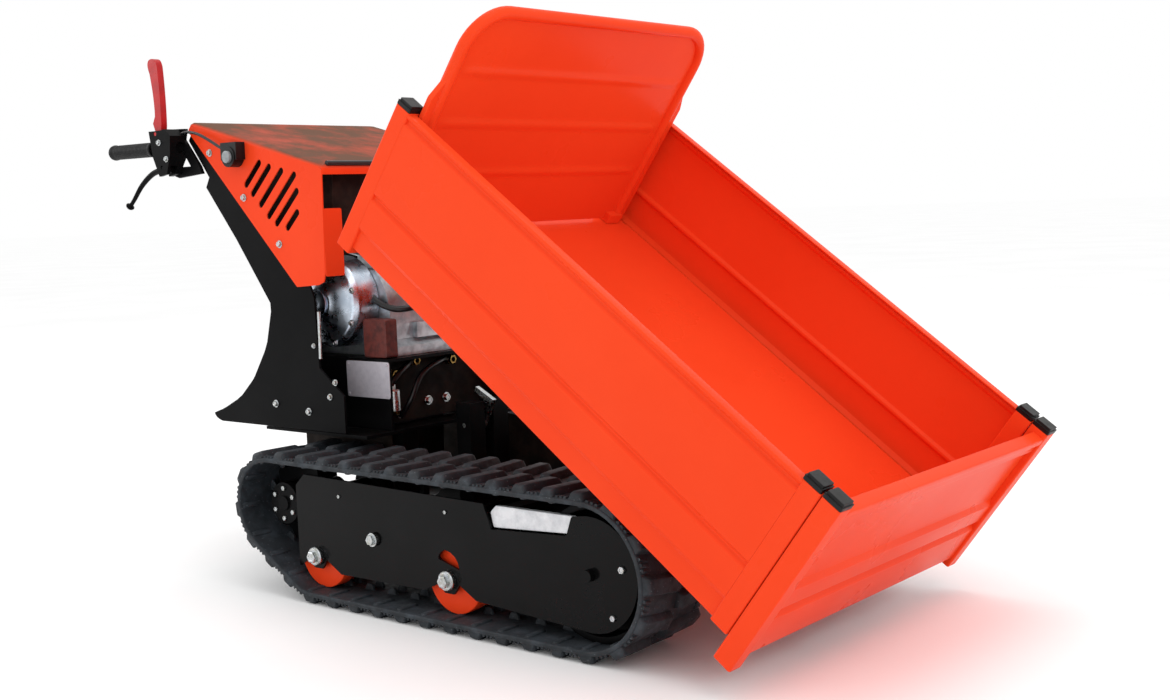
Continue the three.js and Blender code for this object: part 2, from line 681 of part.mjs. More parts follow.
function sprocket(side) {
  const outline = [];
  for (let i = 0; i < SPROCKET_TEETH; i += 1) {
    for (const [part, r] of [[0.05, 70], [0.3, 82], [0.55, 82], [0.8, 70]]) {
      const angle = (2 * Math.PI * (i + part)) / SPROCKET_TEETH;
      outline.push([SPROCKET.x + r * Math.cos(angle), SPROCKET.z + r * Math.sin(angle)]);
    }
  }
  return join(
    prismY(polygon(outline), side * (TRACK_MID - 8), side * (TRACK_MID + 8)),
    rodY(SPROCKET.x, SPROCKET.z, 40, side * (TRACK_MID + 5), side * 304, 24),
    rodY(SPROCKET.x, SPROCKET.z, 14, side * 98, side * 308, 20),
    rodY(SPROCKET.x, SPROCKET.z, 30, side * 170, side * (TRACK_MID - 5), 24),
  );
}

for (const [name, side] of SIDES) {
  add(machine, `track_belt_${name}`, trackBelt(side), RUBBER);
  add(machine, `track_beam_${name}`, trackBeam(side), BLACK);
  add(machine, `track_side_plate_${name}`, trackSidePlate(side), BLACK);
  add(machine, `drive_sprocket_${name}`, sprocket(side), BLACK);
  const rim = IDLER.r - 1;
  add(machine, `front_idler_${name}`,
    turned(grooved(rim, rim - 14, 30, AXLE_R + 0.5, side), IDLER.x, IDLER.z, 24), PAINT);
  for (const [place, x] of ROLLERS) {
    add(machine, `road_roller_${place}_${name}`,
      turned(grooved(ROLLER_R - 1, ROLLER_R - 14, 22, AXLE_R + 0.5, side), x, ROLLER_Z, 16), PAINT);
  }
}

// ---------------------------------------------------------------- drive
function hullOutline(circles) {
  return polygon(loopOutline(circles, 0, 16));
}

function gearbox() {
  const core = hullOutline([
    { x: INPUT.x, z: INPUT.z - 4, r: 34 }, { x: SPROCKET.x, z: SPROCKET.z, r: 56 },
  ]);
  return join(
    prismY(core, -72, 72),
    rodY(SPROCKET.x, SPROCKET.z, 36, -95, 95, 20),
    rodY(INPUT.x, INPUT.z, 22, 60, 120, 16),
    box(-305, -170, -8, 8, 112, 240),
  );
}

function pulley(centre, r, shaftEnd, hub) {
  const y = PULLEY_Y;
  const half = BELT_HALF + 3;
  const profile = [
    [0, shaftEnd], [9, shaftEnd], [9, y - half - 2], [hub, y - half - 2], [hub, y - half], [r, y - half],
    [r, y - BELT_HALF - 1.4], [r - 8, y - BELT_HALF - 0.6], [r - 8, y + BELT_HALF + 0.6],
    [r, y + BELT_HALF + 1.4], [r, y + half],
    [16, y + half], [16, y + half + 5], [0, y + half + 5],
  ];
  return turned(profile, centre.x, centre.z, 20);
}

function driveBelt() {
  const circles = [
    { x: CRANK.x, z: CRANK.z, r: ENGINE_PULLEY_R + 0.5 },
    { x: INPUT.x, z: INPUT.z, r: GEARBOX_PULLEY_R + 0.5 },
  ];
  const shape = polygon(loopOutline(circles, V_BELT, 12));
  shape.holes.push(polygon(loopOutline(circles, 0, 12)));
  return prismY(shape, PULLEY_Y - BELT_HALF, PULLEY_Y + BELT_HALF);
}

function tensionerArm() {
  const [root, tip] = [ARM_ROOT, ARM_TIP];
  const arm = hullOutline([{ x: tip.x, z: tip.z, r: 9 }, { x: root.x, z: root.z, r: 11 }]);
  return join(
    prismY(arm, PULLEY_Y - 20, PULLEY_Y - 15),
    rodY(root.x, root.z, 7, MOUNT_Y + 7, PULLEY_Y - 14, 12),
    rodY(tip.x, tip.z, 5, PULLEY_Y - 17, PULLEY_Y + 9, 12),
  );
}

function engineCrankcase() {
  const outline = new THREE.Shape();
  outline.moveTo(-330, MOUNT_TOP + GAP);
  outline.lineTo(-108, MOUNT_TOP + GAP);
  outline.lineTo(-108, 456);
  outline.lineTo(-124, 470);
  outline.quadraticCurveTo(-112, 560, -160, CASE_TOP);
  outline.lineTo(-310, CASE_TOP);
  outline.quadraticCurveTo(-336, 520, -318, 456);
  outline.lineTo(-330, 452);
  return join(
    prismY(outline, -120, 110, 6),
    rodY(CRANK.x, CRANK.z, 74, 100, 132, 28),
    rodY(CRANK.x, CRANK.z, 26, 120, 146, 20),
    box(-150, -112, -60, 60, 470, 500),
  );
}

function engineCylinder() {
  // The barrel and head lean forward, with cooling fins stacked along them.
  const pieces = [box(-50, 50, -48, 48, -24, 128)];
  for (let i = 0; i < 8; i += 1) {
    pieces.push(box(-64, 64, -60, 60, 8 + 13 * i, 13 + 13 * i));
  }
  pieces.push(box(-58, 58, -54, 54, 112, 132));
  const leaning = join(...pieces).rotateY(THREE.MathUtils.degToRad(12)).translate(-232, -8, 614);
  return cut(leaning, box(-400, 0, -200, 200, 500, CASE_TOP + GAP));
}

function fanCover() {
  const profile = [[0, -198], [30, -198], [42, -190], [80, -180], [88, -168], [90, -120.3], [0, -120.3]];
  return turned(profile, CRANK.x, CRANK.z, 26);
}

function fuelTank() {
  const outline = new THREE.Shape();
  outline.moveTo(-425, 782);
  outline.lineTo(-300, 782);
  outline.lineTo(-300, 806);
  outline.quadraticCurveTo(-302, 824, -322, 827);
  outline.lineTo(-402, 836);
  outline.quadraticCurveTo(-424, 836, -426, 818);
  return prismY(outline, -125, 125, 5);
}

add(machine, 'gearbox', gearbox(), ALLOY);
add(machine, 'gearbox_pulley', pulley(INPUT, GEARBOX_PULLEY_R + V_BELT, 120.5, 30), GREY);
add(machine, 'engine_pulley', pulley(CRANK, ENGINE_PULLEY_R + V_BELT, 146.5, 24), GREY);
add(machine, 'drive_belt', driveBelt(), RUBBER);
add(machine, 'tensioner_arm', tensionerArm(), ZINC);
add(machine, 'jockey_pulley', turned(
  [[5.4, PULLEY_Y - 10], [16, PULLEY_Y - 10], [16, PULLEY_Y + 8], [5.4, PULLEY_Y + 8], [5.4, PULLEY_Y - 10]],
  ARM_TIP.x, ARM_TIP.z, 20), GREY);
add(machine, 'engine_crankcase', engineCrankcase(), ALLOY);
add(machine, 'engine_cylinder', engineCylinder(), ALLOY);
add(machine, 'fan_cover', fanCover(), BLACK);
add(machine, 'fuel_tank', fuelTank(), GREY);
add(machine, 'muffler', join(
  box(-142, -90, 10, 112, 610, 684), rodX(34, 645, 11, -156, -140)), ZINC);
add(machine, 'air_cleaner', join(
  box(-386, -330, -100, 10, 606, 700), rodX(-45, 655, 20, -335, -293.8)), PLASTIC);

// ---------------------------------------------------------------- hood
// The cooling slots, each as the X and Z of its upper end and its length.
const SLOTS = [
  [-335, 823, 62], [-307, 814, 75], [-272, 805, 93], [-236, 796, 112], [-230, 764, 90], [-232, 724, 46],
];
const SLOT_ANGLE = THREE.MathUtils.degToRad(223);
const SLOT_R = 5;

function hoodSide(side) {
  const outline = new THREE.Shape();
  outline.moveTo(-243, 580);
  outline.lineTo(-180, 584);
  outline.quadraticCurveTo(-164, 588, -160, 606);
  outline.lineTo(-155, 808);
  outline.lineTo(-532, 908);
  outline.quadraticCurveTo(-552, 910, -556, 894);
  for (const [x, z, length] of SLOTS) {
    const hole = new THREE.Path();
    const run = length - 2 * SLOT_R;
    const ax = x + SLOT_R * Math.cos(SLOT_ANGLE);
    const az = z + SLOT_R * Math.sin(SLOT_ANGLE);
    const bx = ax + run * Math.cos(SLOT_ANGLE);
    const bz = az + run * Math.sin(SLOT_ANGLE);
    const quarter = Math.PI / 2;
    hole.absarc(ax, az, SLOT_R, SLOT_ANGLE + quarter, SLOT_ANGLE - quarter, true);
    hole.absarc(bx, bz, SLOT_R, SLOT_ANGLE - quarter, SLOT_ANGLE - 3 * quarter, true);
    outline.holes.push(hole);
  }
  return prismY(outline, side * HOOD_Y, side * (HOOD_Y + SHEET), 4);
}

function hood() {
  const half = HOOD_Y + 1;
  const top = polygon([
    [-155, 808], [-155, 790], [-157.5, 790], [-157.5, 805.5], [-532, 905.4], [-550, 906], [-553.5, 894],
    [-556, 894], [-552, 909], [-532, 908],
  ]);
  const pieces = [prismY(top, -half, half)];
  for (const side of [-1, 1]) {
    pieces.push(hoodSide(side));
    pieces.push(box(-160, -157.5, side * 198, side * (HOOD_Y + 1), 600, 727));
  }
  return join(...pieces);
}

add(machine, 'hood', hood(), PAINT);

// ---------------------------------------------------------------- handles and controls
function handleBar(side) {
  const plate = new THREE.Shape();
  plate.moveTo(-566, 876);
  plate.lineTo(-559, 898);
  plate.lineTo(-620, 900);
  plate.lineTo(-632, 850);
  plate.quadraticCurveTo(-622, 805, -590, 800);
  plate.lineTo(-512, 806);
  plate.lineTo(-520, 822);
  const hole = new THREE.Path();
  hole.moveTo(-584, 822);
  hole.lineTo(-548, 822);
  hole.lineTo(-566, 846);
  plate.holes.push(hole);
  const ya = side * (COLUMN_Y + COLUMN_THICK + GAP);
  const yb = side * (HANDLE_Y - HANDLE_R + 2);
  return join(prismY(plate, ya, yb, 5), rodX(side * HANDLE_Y, HANDLE_Z, HANDLE_R, -796, -572, 16));
}

function grip(side) {
  const profile = [
    [HANDLE_R + GAP, 0], [15, 0], [17, 4], [15.5, 9], [14.5, 20], [14.5, 120], [15.5, 138], [17, 146],
    [15, 152], [0, 152], [0, 147], [HANDLE_R + GAP, 147], [HANDLE_R + GAP, 0],
  ];
  const points = profile.map(([r, y]) => new THREE.Vector2(r, y));
  return outward(new THREE.LatheGeometry(points, 16)).rotateZ(Math.PI / 2)
    .translate(-652, side * HANDLE_Y, HANDLE_Z);
}

function leverBracket(side) {
  const outline = new THREE.Shape();
  outline.moveTo(-624, 842);
  outline.lineTo(-606, 804);
  outline.lineTo(-580, 808);
  outline.lineTo(-566, 846);
  outline.lineTo(-562, 884);
  outline.lineTo(-580, 898);
  outline.lineTo(-596, 896);
  outline.lineTo(-634, 896);
  const ya = side * 249.6;
  const yb = side * 284;
  const slot = box(-660, -590, side * 261, side * 277, 880, 920);
  const lower = box(-660, -574, side * 261, side * 277, 780, 838);
  const tube = rodX(side * HANDLE_Y, HANDLE_Z, HANDLE_R + GAP, -700, -500, 20);
  const pins = [CLUTCH_PIVOT, STEER_PIVOT].map(({ x, z }) => rodY(x, z, 4.2, side * 240, side * 300, 12));
  return cut(prismY(outline, ya, yb, 5), tube, slot, lower, ...pins);
}

// The upright dead-man lever: a flat shank with a rounded head and a small eye round its pivot.
function clutchLever(side) {
  const outline = new THREE.Shape();
  outline.moveTo(-621, 894);
  outline.lineTo(-628, 912);
  outline.lineTo(-620, 926);
  outline.quadraticCurveTo(-618, 960, -629, 1012);
  outline.quadraticCurveTo(-640, 1034, -628, 1040);
  outline.quadraticCurveTo(-606, 1046, -602, 1024);
  outline.quadraticCurveTo(-597, 960, -600, 906);
  outline.lineTo(-604, 886);
  outline.lineTo(-610, 882.5);
  outline.lineTo(-617, 884.5);
  const pin = rodY(CLUTCH_PIVOT.x, CLUTCH_PIVOT.z, 4, side * 250, side * 283.6, 12);
  return join(prismY(outline, side * 262, side * 276, 6), pin);
}

function steeringLever(side) {
  const outline = new THREE.Shape();
  outline.moveTo(-586, 818);
  outline.lineTo(-592, 831);
  outline.lineTo(-618, 826);
  outline.quadraticCurveTo(-690, 812, -738, 758);
  outline.quadraticCurveTo(-756, 748, -748, 736);
  outline.quadraticCurveTo(-736, 732, -730, 746);
  outline.quadraticCurveTo(-688, 796, -622, 804);
  outline.lineTo(-592, 812);
  const pin = rodY(STEER_PIVOT.x, STEER_PIVOT.z, 4, side * 250, side * 283.6, 12);
  return join(prismY(outline, side * 262, side * 276, 6), pin);
}

function gearLever() {
  const y = 60;
  const eye = rodY(BRACE.x, BRACE.z, BRACE.r + 8, y - 9, y + 9, 20);
  const shank = bar([[-408, y, 665], [-440, y, 705], [-480, y, 750], [-512, y, 786]], 6, 8, 6);
  const knob = new THREE.SphereGeometry(17, 12, 8).translate(-518, y, 793);
  return cut(join(eye, shank, knob), rodY(BRACE.x, BRACE.z, BRACE.r + 0.4, y - 20, y + 20, 20));
}

for (const [name, side] of SIDES) {
  add(machine, `handle_bar_${name}`, handleBar(side), BLACK);
  add(machine, `grip_${name}`, grip(side), RUBBER);
  add(machine, `lever_bracket_${name}`, leverBracket(side), BLACK);
  add(machine, `steering_lever_${name}`, steeringLever(side), BLACK);
}
add(machine, 'clutch_lever', clutchLever(-1), RED);
add(machine, 'gear_lever', gearLever(), BLACK);

const SWITCH = { x0: -424, x1: -376, z0: 814, z1: 862, y: -(HOOD_Y + SHEET + GAP) };
add(machine, 'stop_switch', cut(
  join(box(SWITCH.x0, SWITCH.x1, SWITCH.y, SWITCH.y - 22, SWITCH.z0 + 14, SWITCH.z1),
    rodY(-400, SWITCH.z0 + 20, 20, SWITCH.y, SWITCH.y - 24, 20)),
  rodY(-400, SWITCH.z0 + 20, 12.5, SWITCH.y - 14, SWITCH.y - 30, 20)), PLASTIC);
add(machine, 'stop_button', rodY(-400, SWITCH.z0 + 20, 12, SWITCH.y - 18.5, SWITCH.y - 30, 20), GREY);
add(machine, 'stop_cable', bar([
  [-561, -256, 888], [-540, -257, 890], [-505, -258, 884], [-470, -258, 870], [-440, -258, 856],
  [-427, -258, 851],
], 3, 8, 14), PLASTIC);

// The origin is the middle of the machine's footprint, on the ground.
machine.updateMatrixWorld(true);
const extent = new THREE.Box3().setFromObject(machine, true);
machine.position.x = -(extent.min.x + extent.max.x) / 2;
machine.updateMatrixWorld(true);

export default machine;
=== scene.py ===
import json
import math

import bmesh
import bpy
import numpy as np
from mathutils import Matrix, Vector
from mathutils.geometry import tessellate_polygon


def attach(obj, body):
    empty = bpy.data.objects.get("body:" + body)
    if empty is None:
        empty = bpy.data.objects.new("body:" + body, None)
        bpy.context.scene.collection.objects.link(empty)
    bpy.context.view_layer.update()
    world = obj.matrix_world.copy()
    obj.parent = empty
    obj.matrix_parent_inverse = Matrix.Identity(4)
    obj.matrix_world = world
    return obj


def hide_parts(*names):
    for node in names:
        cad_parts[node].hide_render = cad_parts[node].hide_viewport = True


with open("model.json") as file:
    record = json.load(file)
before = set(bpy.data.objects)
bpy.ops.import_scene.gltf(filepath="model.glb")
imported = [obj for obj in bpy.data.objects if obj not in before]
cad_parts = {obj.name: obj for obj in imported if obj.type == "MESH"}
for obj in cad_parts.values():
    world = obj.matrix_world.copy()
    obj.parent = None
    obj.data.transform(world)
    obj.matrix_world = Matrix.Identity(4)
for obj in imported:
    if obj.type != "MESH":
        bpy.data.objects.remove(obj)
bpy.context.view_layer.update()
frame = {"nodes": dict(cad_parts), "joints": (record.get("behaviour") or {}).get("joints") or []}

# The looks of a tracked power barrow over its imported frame. Metres, X forward, Y to the left, Z up.
# Drawing sizes are in millimetres, and MM turns them to metres.
MM = 0.001
SIDES = (("right", -1), ("left", 1))
NODES = frame["nodes"]
JOINTS = {joint["name"]: joint for joint in frame["joints"]}


def joint_at(name):
    """The point in the row frame that a joint turns about."""
    return np.array(JOINTS[name]["pos_m"], float)


# ---------------------------------------------------------------- places
DRAWING_X = joint_at("sprocket_right_spin")[0] + 243 * MM
TIP = math.radians(-JOINTS["tip_hinge"]["range_deg"][0])
HINGE = joint_at("tip_hinge")
HINGE_U, HINGE_W = 550, 60
ALONG = np.array([math.cos(TIP), 0, -math.sin(TIP)])
SQUARE = np.array([math.sin(TIP), 0, math.cos(TIP)])
X_AXIS, Y_AXIS, Z_AXIS = np.eye(3)


def at(x, y, z):
    """Drawing millimetres to the row frame: each one in metres, with X counted from the drawing's zero."""
    x, y, z = np.broadcast_arrays(np.asarray(x, float), y, z)
    return np.stack([x * MM + DRAWING_X, y * MM, z * MM], -1)


def in_tub(u, y, w):
    """A point of the tub: the hinge, plus u along the floor, y across, and w square to the floor."""
    u, y, w = np.broadcast_arrays(np.asarray(u, float), y, w)
    return HINGE + ((u - HINGE_U)[..., None] * ALONG + y[..., None] * Y_AXIS
                    + (w - HINGE_W)[..., None] * SQUARE) * MM


# ---------------------------------------------------------------- surfaces
def unit(vectors):
    """Vectors divided by their own lengths."""
    return vectors / np.linalg.norm(vectors, axis=-1, keepdims=True)


def grid(points, wrap_rows=False, wrap_columns=False):
    """Points on a grid of two parameters, each joined by a quad to the next in its row and column."""
    rows, columns = points.shape[:2]
    i = np.arange(rows if wrap_rows else rows - 1)[:, None]
    j = np.arange(columns if wrap_columns else columns - 1)[None, :]
    k, m = (i + 1) % rows, (j + 1) % columns
    quads = np.stack([i * columns + j, i * columns + m, k * columns + m, k * columns + j], -1)
    return points.reshape(-1, 3), quads.reshape(-1, 4).tolist()


def capped(points):
    """A grid that closes round its columns, with its first and last rows filled."""
    rows, columns = points.shape[:2]
    corners, faces = grid(points, wrap_columns=True)
    last = (rows - 1) * columns
    return corners, faces + [list(range(columns)), list(range(last, last + columns))]


def sweep(section, centres, side, up):
    """A section carried along a path: centre + a times the side vector + b times the up vector."""
    side = np.broadcast_to(side, centres.shape)[:, None, :]
    up = np.broadcast_to(up, centres.shape)[:, None, :]
    return centres[:, None, :] + (section[None, :, :1] * side + section[None, :, 1:] * up) * MM


def lathe(profile, centre, axis=Y_AXIS, steps=48, ring=False):
    """A profile of [radius, height] turned about an axis: centre + height along it + radius round it."""
    axis = unit(np.asarray(axis, float))
    first = unit(np.cross(axis, Z_AXIS if abs(axis[2]) < 0.9 else X_AXIS))
    second = np.cross(axis, first)
    turn = np.linspace(0, 2 * math.pi, steps, endpoint=False)[:, None]
    spoke = np.cos(turn) * first + np.sin(turn) * second
    profile = np.asarray(profile, float) * MM
    points = centre + profile[None, :, 1:] * axis + profile[None, :, :1] * spoke[:, None, :]
    return grid(points, wrap_rows=True, wrap_columns=ring)


def tube(path, radius, sides=16, level=Y_AXIS):
    """A circle of a radius, which may change along the path, square to the path at every point."""
    tangent = unit(np.gradient(path, axis=0))
    side = unit(np.cross(tangent, level))
    up = np.cross(side, tangent)
    turn = np.linspace(0, 2 * math.pi, sides, endpoint=False)
    radius = np.broadcast_to(np.asarray(radius, float) * MM, len(path))[:, None, None]
    ring = np.cos(turn)[None, :, None] * side[:, None, :] + np.sin(turn)[None, :, None] * up[:, None, :]
    return capped(path[:, None, :] + radius * ring)


def smooth_path(points, steps=8):
    """A Catmull-Rom curve: each span is a cubic whose end slopes are half the chord of its neighbours."""
    p = np.asarray(points, float)
    q = np.concatenate([2 * p[:1] - p[1:2], p, 2 * p[-1:] - p[-2:-1]])
    t = np.linspace(0, 1, steps, endpoint=False)[None, :, None]
    a, b, c, d = (q[i:len(q) - 3 + i][:, None, :] for i in range(4))
    curve = 2 * b + (c - a) * t + (2 * a - 5 * b + 4 * c - d) * t ** 2 + (3 * b - a - 3 * c + d) * t ** 3
    return np.concatenate([curve.reshape(-1, p.shape[1]) / 2, p[-1:]])


def rounded(points, radius, steps=5):
    """A closed outline whose corners become quadratic Bezier curves, tangent to both of their sides."""
    p = np.asarray(points, float)
    back, ahead = np.roll(p, 1, 0) - p, np.roll(p, -1, 0) - p
    shorter = np.minimum(np.linalg.norm(back, axis=1), np.linalg.norm(ahead, axis=1))
    back, ahead = unit(back), unit(ahead)
    half = np.arccos(np.clip((back * ahead).sum(1), -1, 1)) / 2
    reach = np.minimum(radius / np.tan(np.maximum(half, 1e-3)), 0.45 * shorter)[:, None]
    t = np.linspace(0, 1, steps + 1)[None, :, None]
    start, end, corner = p + back * reach, p + ahead * reach, p[:, None, :]
    curve = (1 - t) ** 2 * start[:, None, :] + 2 * t * (1 - t) * corner + t ** 2 * end[:, None, :]
    return curve.reshape(-1, 2)


def prism(outline, place, low, high):
    """A closed outline carried straight from low to high, and filled at both ends."""
    outline = np.asarray(outline, float)
    return capped(np.stack([place(outline[:, 0], outline[:, 1], h) for h in (low, high)]))


def plate(outline, holes, place, low, high):
    """A sheet with holes: each loop is a wall from low to high, and both faces are filled between them."""
    loops = [np.asarray(loop, float) for loop in (outline, *holes)]
    flat = np.concatenate(loops)
    count = len(flat)
    filled = [list(t) for t in tessellate_polygon([[Vector((*p, 0)) for p in loop] for loop in loops])]
    corners = np.concatenate([place(flat[:, 0], flat[:, 1], h) for h in (low, high)])
    faces = filled + [[i + count for i in t] for t in filled]
    start = 0
    for loop in loops:
        i = start + np.arange(len(loop))
        j = np.roll(i, -1)
        faces += np.stack([i, j, j + count, i + count], -1).tolist()
        start += len(loop)
    return corners, faces


def side_place(side):
    """Places an outline drawn in X and Z at a distance out from the middle on one side."""
    return lambda x, z, h: at(x, side * h, z)


def slot_hole(x, z, run, r, angle, steps=8):
    """A slot with round ends: two half circles joined by straight sides."""
    direction = np.array([math.cos(angle), math.sin(angle)])
    turn = np.linspace(math.pi / 2, -math.pi / 2, steps)
    back = np.stack([np.cos(angle + math.pi - turn), np.sin(angle + math.pi - turn)], 1) * r
    front = np.stack([np.cos(angle - turn), np.sin(angle - turn)], 1) * r
    start = np.array([x, z]) + direction * r
    return np.concatenate([start + back[::-1], start + direction * (run - 2 * r) + front[::-1]])


def box_outline(width, height, r=3, steps=4):
    """A rounded rectangle about its own middle."""
    w, h = width / 2, height / 2
    return rounded([[-w, -h], [w, -h], [w, h], [-w, h]], r, steps)


# ---------------------------------------------------------------- materials
def linear(code):
    """An sRGB hex code to linear light: c / 12.92 below 0.04045, else ((c + 0.055) / 1.055) to the 2.4."""
    c = np.array([int(code[i:i + 2], 16) for i in (0, 2, 4)]) / 255
    c = np.where(c <= 0.04045, c / 12.92, ((c + 0.055) / 1.055) ** 2.4)
    return (*c.tolist(), 1.0)


def node(tree, kind, inputs=None, **settings):
    """Adds a shader node with its settings, and fills its inputs with values or other nodes' outputs."""
    made = tree.nodes.new("ShaderNode" + kind)
    for key, value in settings.items():
        setattr(made, key, value)
    for key, value in (inputs or {}).items():
        if isinstance(value, bpy.types.NodeSocket):
            tree.links.new(value, made.inputs[key])
        else:
            made.inputs[key].default_value = value
    return made


def per(mm):
    """A texture scale at which one feature is that many millimetres wide."""
    return 1 / (mm * MM)


def finish(name, base, other, patch=60, blend=(0.35, 0.7), rough=(0.3, 0.4), smear=25, grain=0.8,
           depth=0.05, metallic=0.0, specular=0.5, coat=0.0, film=None, speck=None):
    """A finish: two shades in soft patches, smeared roughness, a surface grain, and a film on upward faces
    that is dust, and on the hood partly a painted reflection.

    film is (hex, amount, mm), and speck is (hex, mm, share).
    """
    made = bpy.data.materials.new(name)
    made.use_nodes = True
    made.diffuse_color = linear(base)
    tree = made.node_tree
    tree.nodes.clear()
    where = node(tree, "TexCoord")
    spot = where.outputs["Object"]
    patches = node(tree, "TexNoise", {"Vector": spot, "Scale": per(patch), "Detail": 5.0, "Roughness": 0.6})
    share = node(tree, "MapRange", {"Value": patches.outputs["Fac"], "From Min": blend[0],
                                    "From Max": blend[1]}, interpolation_type="SMOOTHSTEP")
    colour = node(tree, "MixRGB", {"Fac": share.outputs["Result"], "Color1": linear(base),
                                   "Color2": linear(other)})
    if speck:
        code, size, amount = speck
        dots = node(tree, "TexVoronoi", {"Vector": spot, "Scale": per(size)})
        near = node(tree, "MapRange", {"Value": dots.outputs["Distance"], "From Min": amount,
                                       "From Max": amount * 0.6})
        colour = node(tree, "MixRGB", {"Fac": near.outputs["Result"], "Color1": colour.outputs["Color"],
                                       "Color2": linear(code)})
    smears = node(tree, "TexNoise", {"Vector": spot, "Scale": per(smear), "Detail": 4.0})
    rough_at = node(tree, "MapRange", {"Value": smears.outputs["Fac"], "From Min": 0.3, "From Max": 0.7,
                                       "To Min": rough[0], "To Max": rough[1]})
    rough_out = rough_at.outputs["Result"]
    # The film tints upward faces: dust on most finishes, and on the hood partly a painted reflection.
    if film:
        code, amount, size = film
        facing = node(tree, "SeparateXYZ", {"Vector": where.outputs["Normal"]})
        clouds = node(tree, "TexNoise", {"Vector": spot, "Scale": per(size), "Detail": 6.0,
                                         "Roughness": 0.7})
        upward = node(tree, "MapRange", {"Value": facing.outputs["Z"], "From Min": 0.2, "From Max": 1.0,
                                         "To Max": amount})
        dust_and_reflection = node(tree, "Math", {0: upward.outputs["Result"], 1: clouds.outputs["Fac"]},
                       operation="MULTIPLY", use_clamp=True)
        colour = node(tree, "MixRGB", {"Fac": dust_and_reflection.outputs["Value"], "Color1": colour.outputs["Color"],
                                       "Color2": linear(code)})
        duller = node(tree, "Math", {0: dust_and_reflection.outputs["Value"], 1: 0.5, 2: rough_out},
                      operation="MULTIPLY_ADD", use_clamp=True)
        rough_out = duller.outputs["Value"]
    peel = node(tree, "TexNoise", {"Vector": spot, "Scale": per(grain), "Detail": 3.0})
    bump = node(tree, "Bump", {"Height": peel.outputs["Fac"], "Strength": 0.6, "Distance": depth * MM})
    shader = node(tree, "BsdfPrincipled", {
        "Base Color": colour.outputs["Color"], "Roughness": rough_out,
        "Normal": bump.outputs["Normal"],
        "Metallic": metallic, "Specular IOR Level": specular, "Coat Weight": coat})
    shader.inputs["Coat Roughness"].default_value = 0.12
    node(tree, "OutputMaterial", {"Surface": shader.outputs["BSDF"]})
    return made


# Polyester powder coat, sprayed and baked: one even orange-red gloss with a faint orange-peel ripple.
ORANGE = finish("powder_coat_orange", "F04822", "EC431E", patch=420, rough=(0.26, 0.32), smear=160,
                grain=2.6, depth=0.02, specular=0.05, coat=0.02)
# The same coat on the hood, whose upward faces carry a brown-beige film that is partly dust and partly a
# painted reflection, with sun-dulled gloss.
HOOD_ORANGE = finish("powder_coat_hood", "F04822", "EA421E", patch=300, rough=(0.26, 0.34), smear=120,
                     grain=2.6, depth=0.02, specular=0.06, coat=0.02, film=("6A4C3C", 1.9, 150))
# Satin black powder coat on plate and tube: deep black, softly sheened, with a fine grain.
BLACK = finish("powder_coat_black", "0A0A0B", "0F0F10", patch=120, rough=(0.3, 0.42), smear=45, grain=1.6,
               depth=0.05, specular=0.05, film=("6B6259", 0.02, 60))
# Gloss black enamel on the track plates: near mirror, so lights draw sharp streaks on it.
GLOSS_BLACK = finish("enamel_black_gloss", "090909", "0E0E0F", patch=150, rough=(0.1, 0.2), smear=55,
                     grain=3.0, depth=0.04, specular=0.08, coat=0.05, film=("5B544C", 0.02, 60))
# Moulded track rubber: charcoal, matt, scuffed grey on what touches the ground, with a cast grain.
TRACK = finish("rubber_track", "1A1F24", "333A41", patch=34, blend=(0.42, 0.75), rough=(0.5, 0.78),
               smear=14, grain=2.2, depth=0.35, specular=0.4, film=("5F646B", 0.22, 26),
               speck=("4A4F54", 9, 0.16))
# Soft grip rubber: black, slightly waxy from hands.
GRIP = finish("rubber_grip", "0A0A0B", "111112", patch=18, rough=(0.45, 0.62), smear=9, grain=0.9,
              depth=0.12, specular=0.2)
# Fabric-faced V-belt rubber, worn dull.
BELT = finish("rubber_v_belt", "161616", "2A2927", patch=20, rough=(0.62, 0.8), smear=12, grain=0.7,
              depth=0.1)
# Bright zinc plate on steel: cool silver with faint iridescent patches.
ZINC = finish("zinc_plate", "C9CDD1", "AEB0A8", patch=9, rough=(0.2, 0.36), smear=6, grain=0.7, depth=0.02,
              metallic=1.0)
# Die-cast aluminium, as cast: pale grey, softly mottled, with a pebbled skin.
CAST = finish("die_cast_aluminium", "C2C8CC", "A0A8AE", patch=24, rough=(0.3, 0.5), smear=12, grain=1.4,
              depth=0.16, metallic=0.9, film=("6A625A", 0.16, 40))
# Machined and polished aluminium covers: bright blue-grey, softly mirrored.
POLISHED = finish("polished_aluminium", "D8E2EE", "BCC9D8", patch=40, rough=(0.22, 0.36), smear=16,
                  grain=0.8, depth=0.02, metallic=1.0)
# ABS with a spark-eroded mould face: black, low sheen, a little greyer on upward faces.
ABS = finish("abs_black", "0B0B0C", "151516", patch=14, rough=(0.3, 0.46), smear=10, grain=0.6, depth=0.06,
             specular=0.25, film=("7B7670", 0.12, 9))
# Plastisol-dipped red lever: soft gloss, slightly uneven thickness.
RED = finish("plastisol_red", "B6191C", "A61518", patch=30, rough=(0.26, 0.38), smear=18, grain=2.5,
             depth=0.05, specular=0.25, coat=0.05)
# Turned cast iron: mid grey and dull, with a fine grain.
IRON = finish("turned_cast_iron", "75797C", "5A5C5E", patch=12, rough=(0.38, 0.55), smear=8, grain=1.0,
              depth=0.06, metallic=0.9)
# Blow-moulded polyethylene tank: dark grey, waxy.
TANK = finish("polyethylene_tank", "26282B", "2F3134", patch=60, rough=(0.4, 0.5), smear=30, grain=3.0,
              depth=0.1)
# Moulded translucent grey polycarbonate of the stop button.
BUTTON = finish("polycarbonate_grey", "8E9497", "7B8083", patch=9, rough=(0.18, 0.28), smear=6, grain=0.6,
                depth=0.02, coat=0.3)
# Brass fittings: warm yellow with brown tarnish.
BRASS = finish("brass", "A8884C", "6E5430", patch=5, rough=(0.22, 0.4), smear=4, grain=0.6, depth=0.03,
               metallic=1.0)
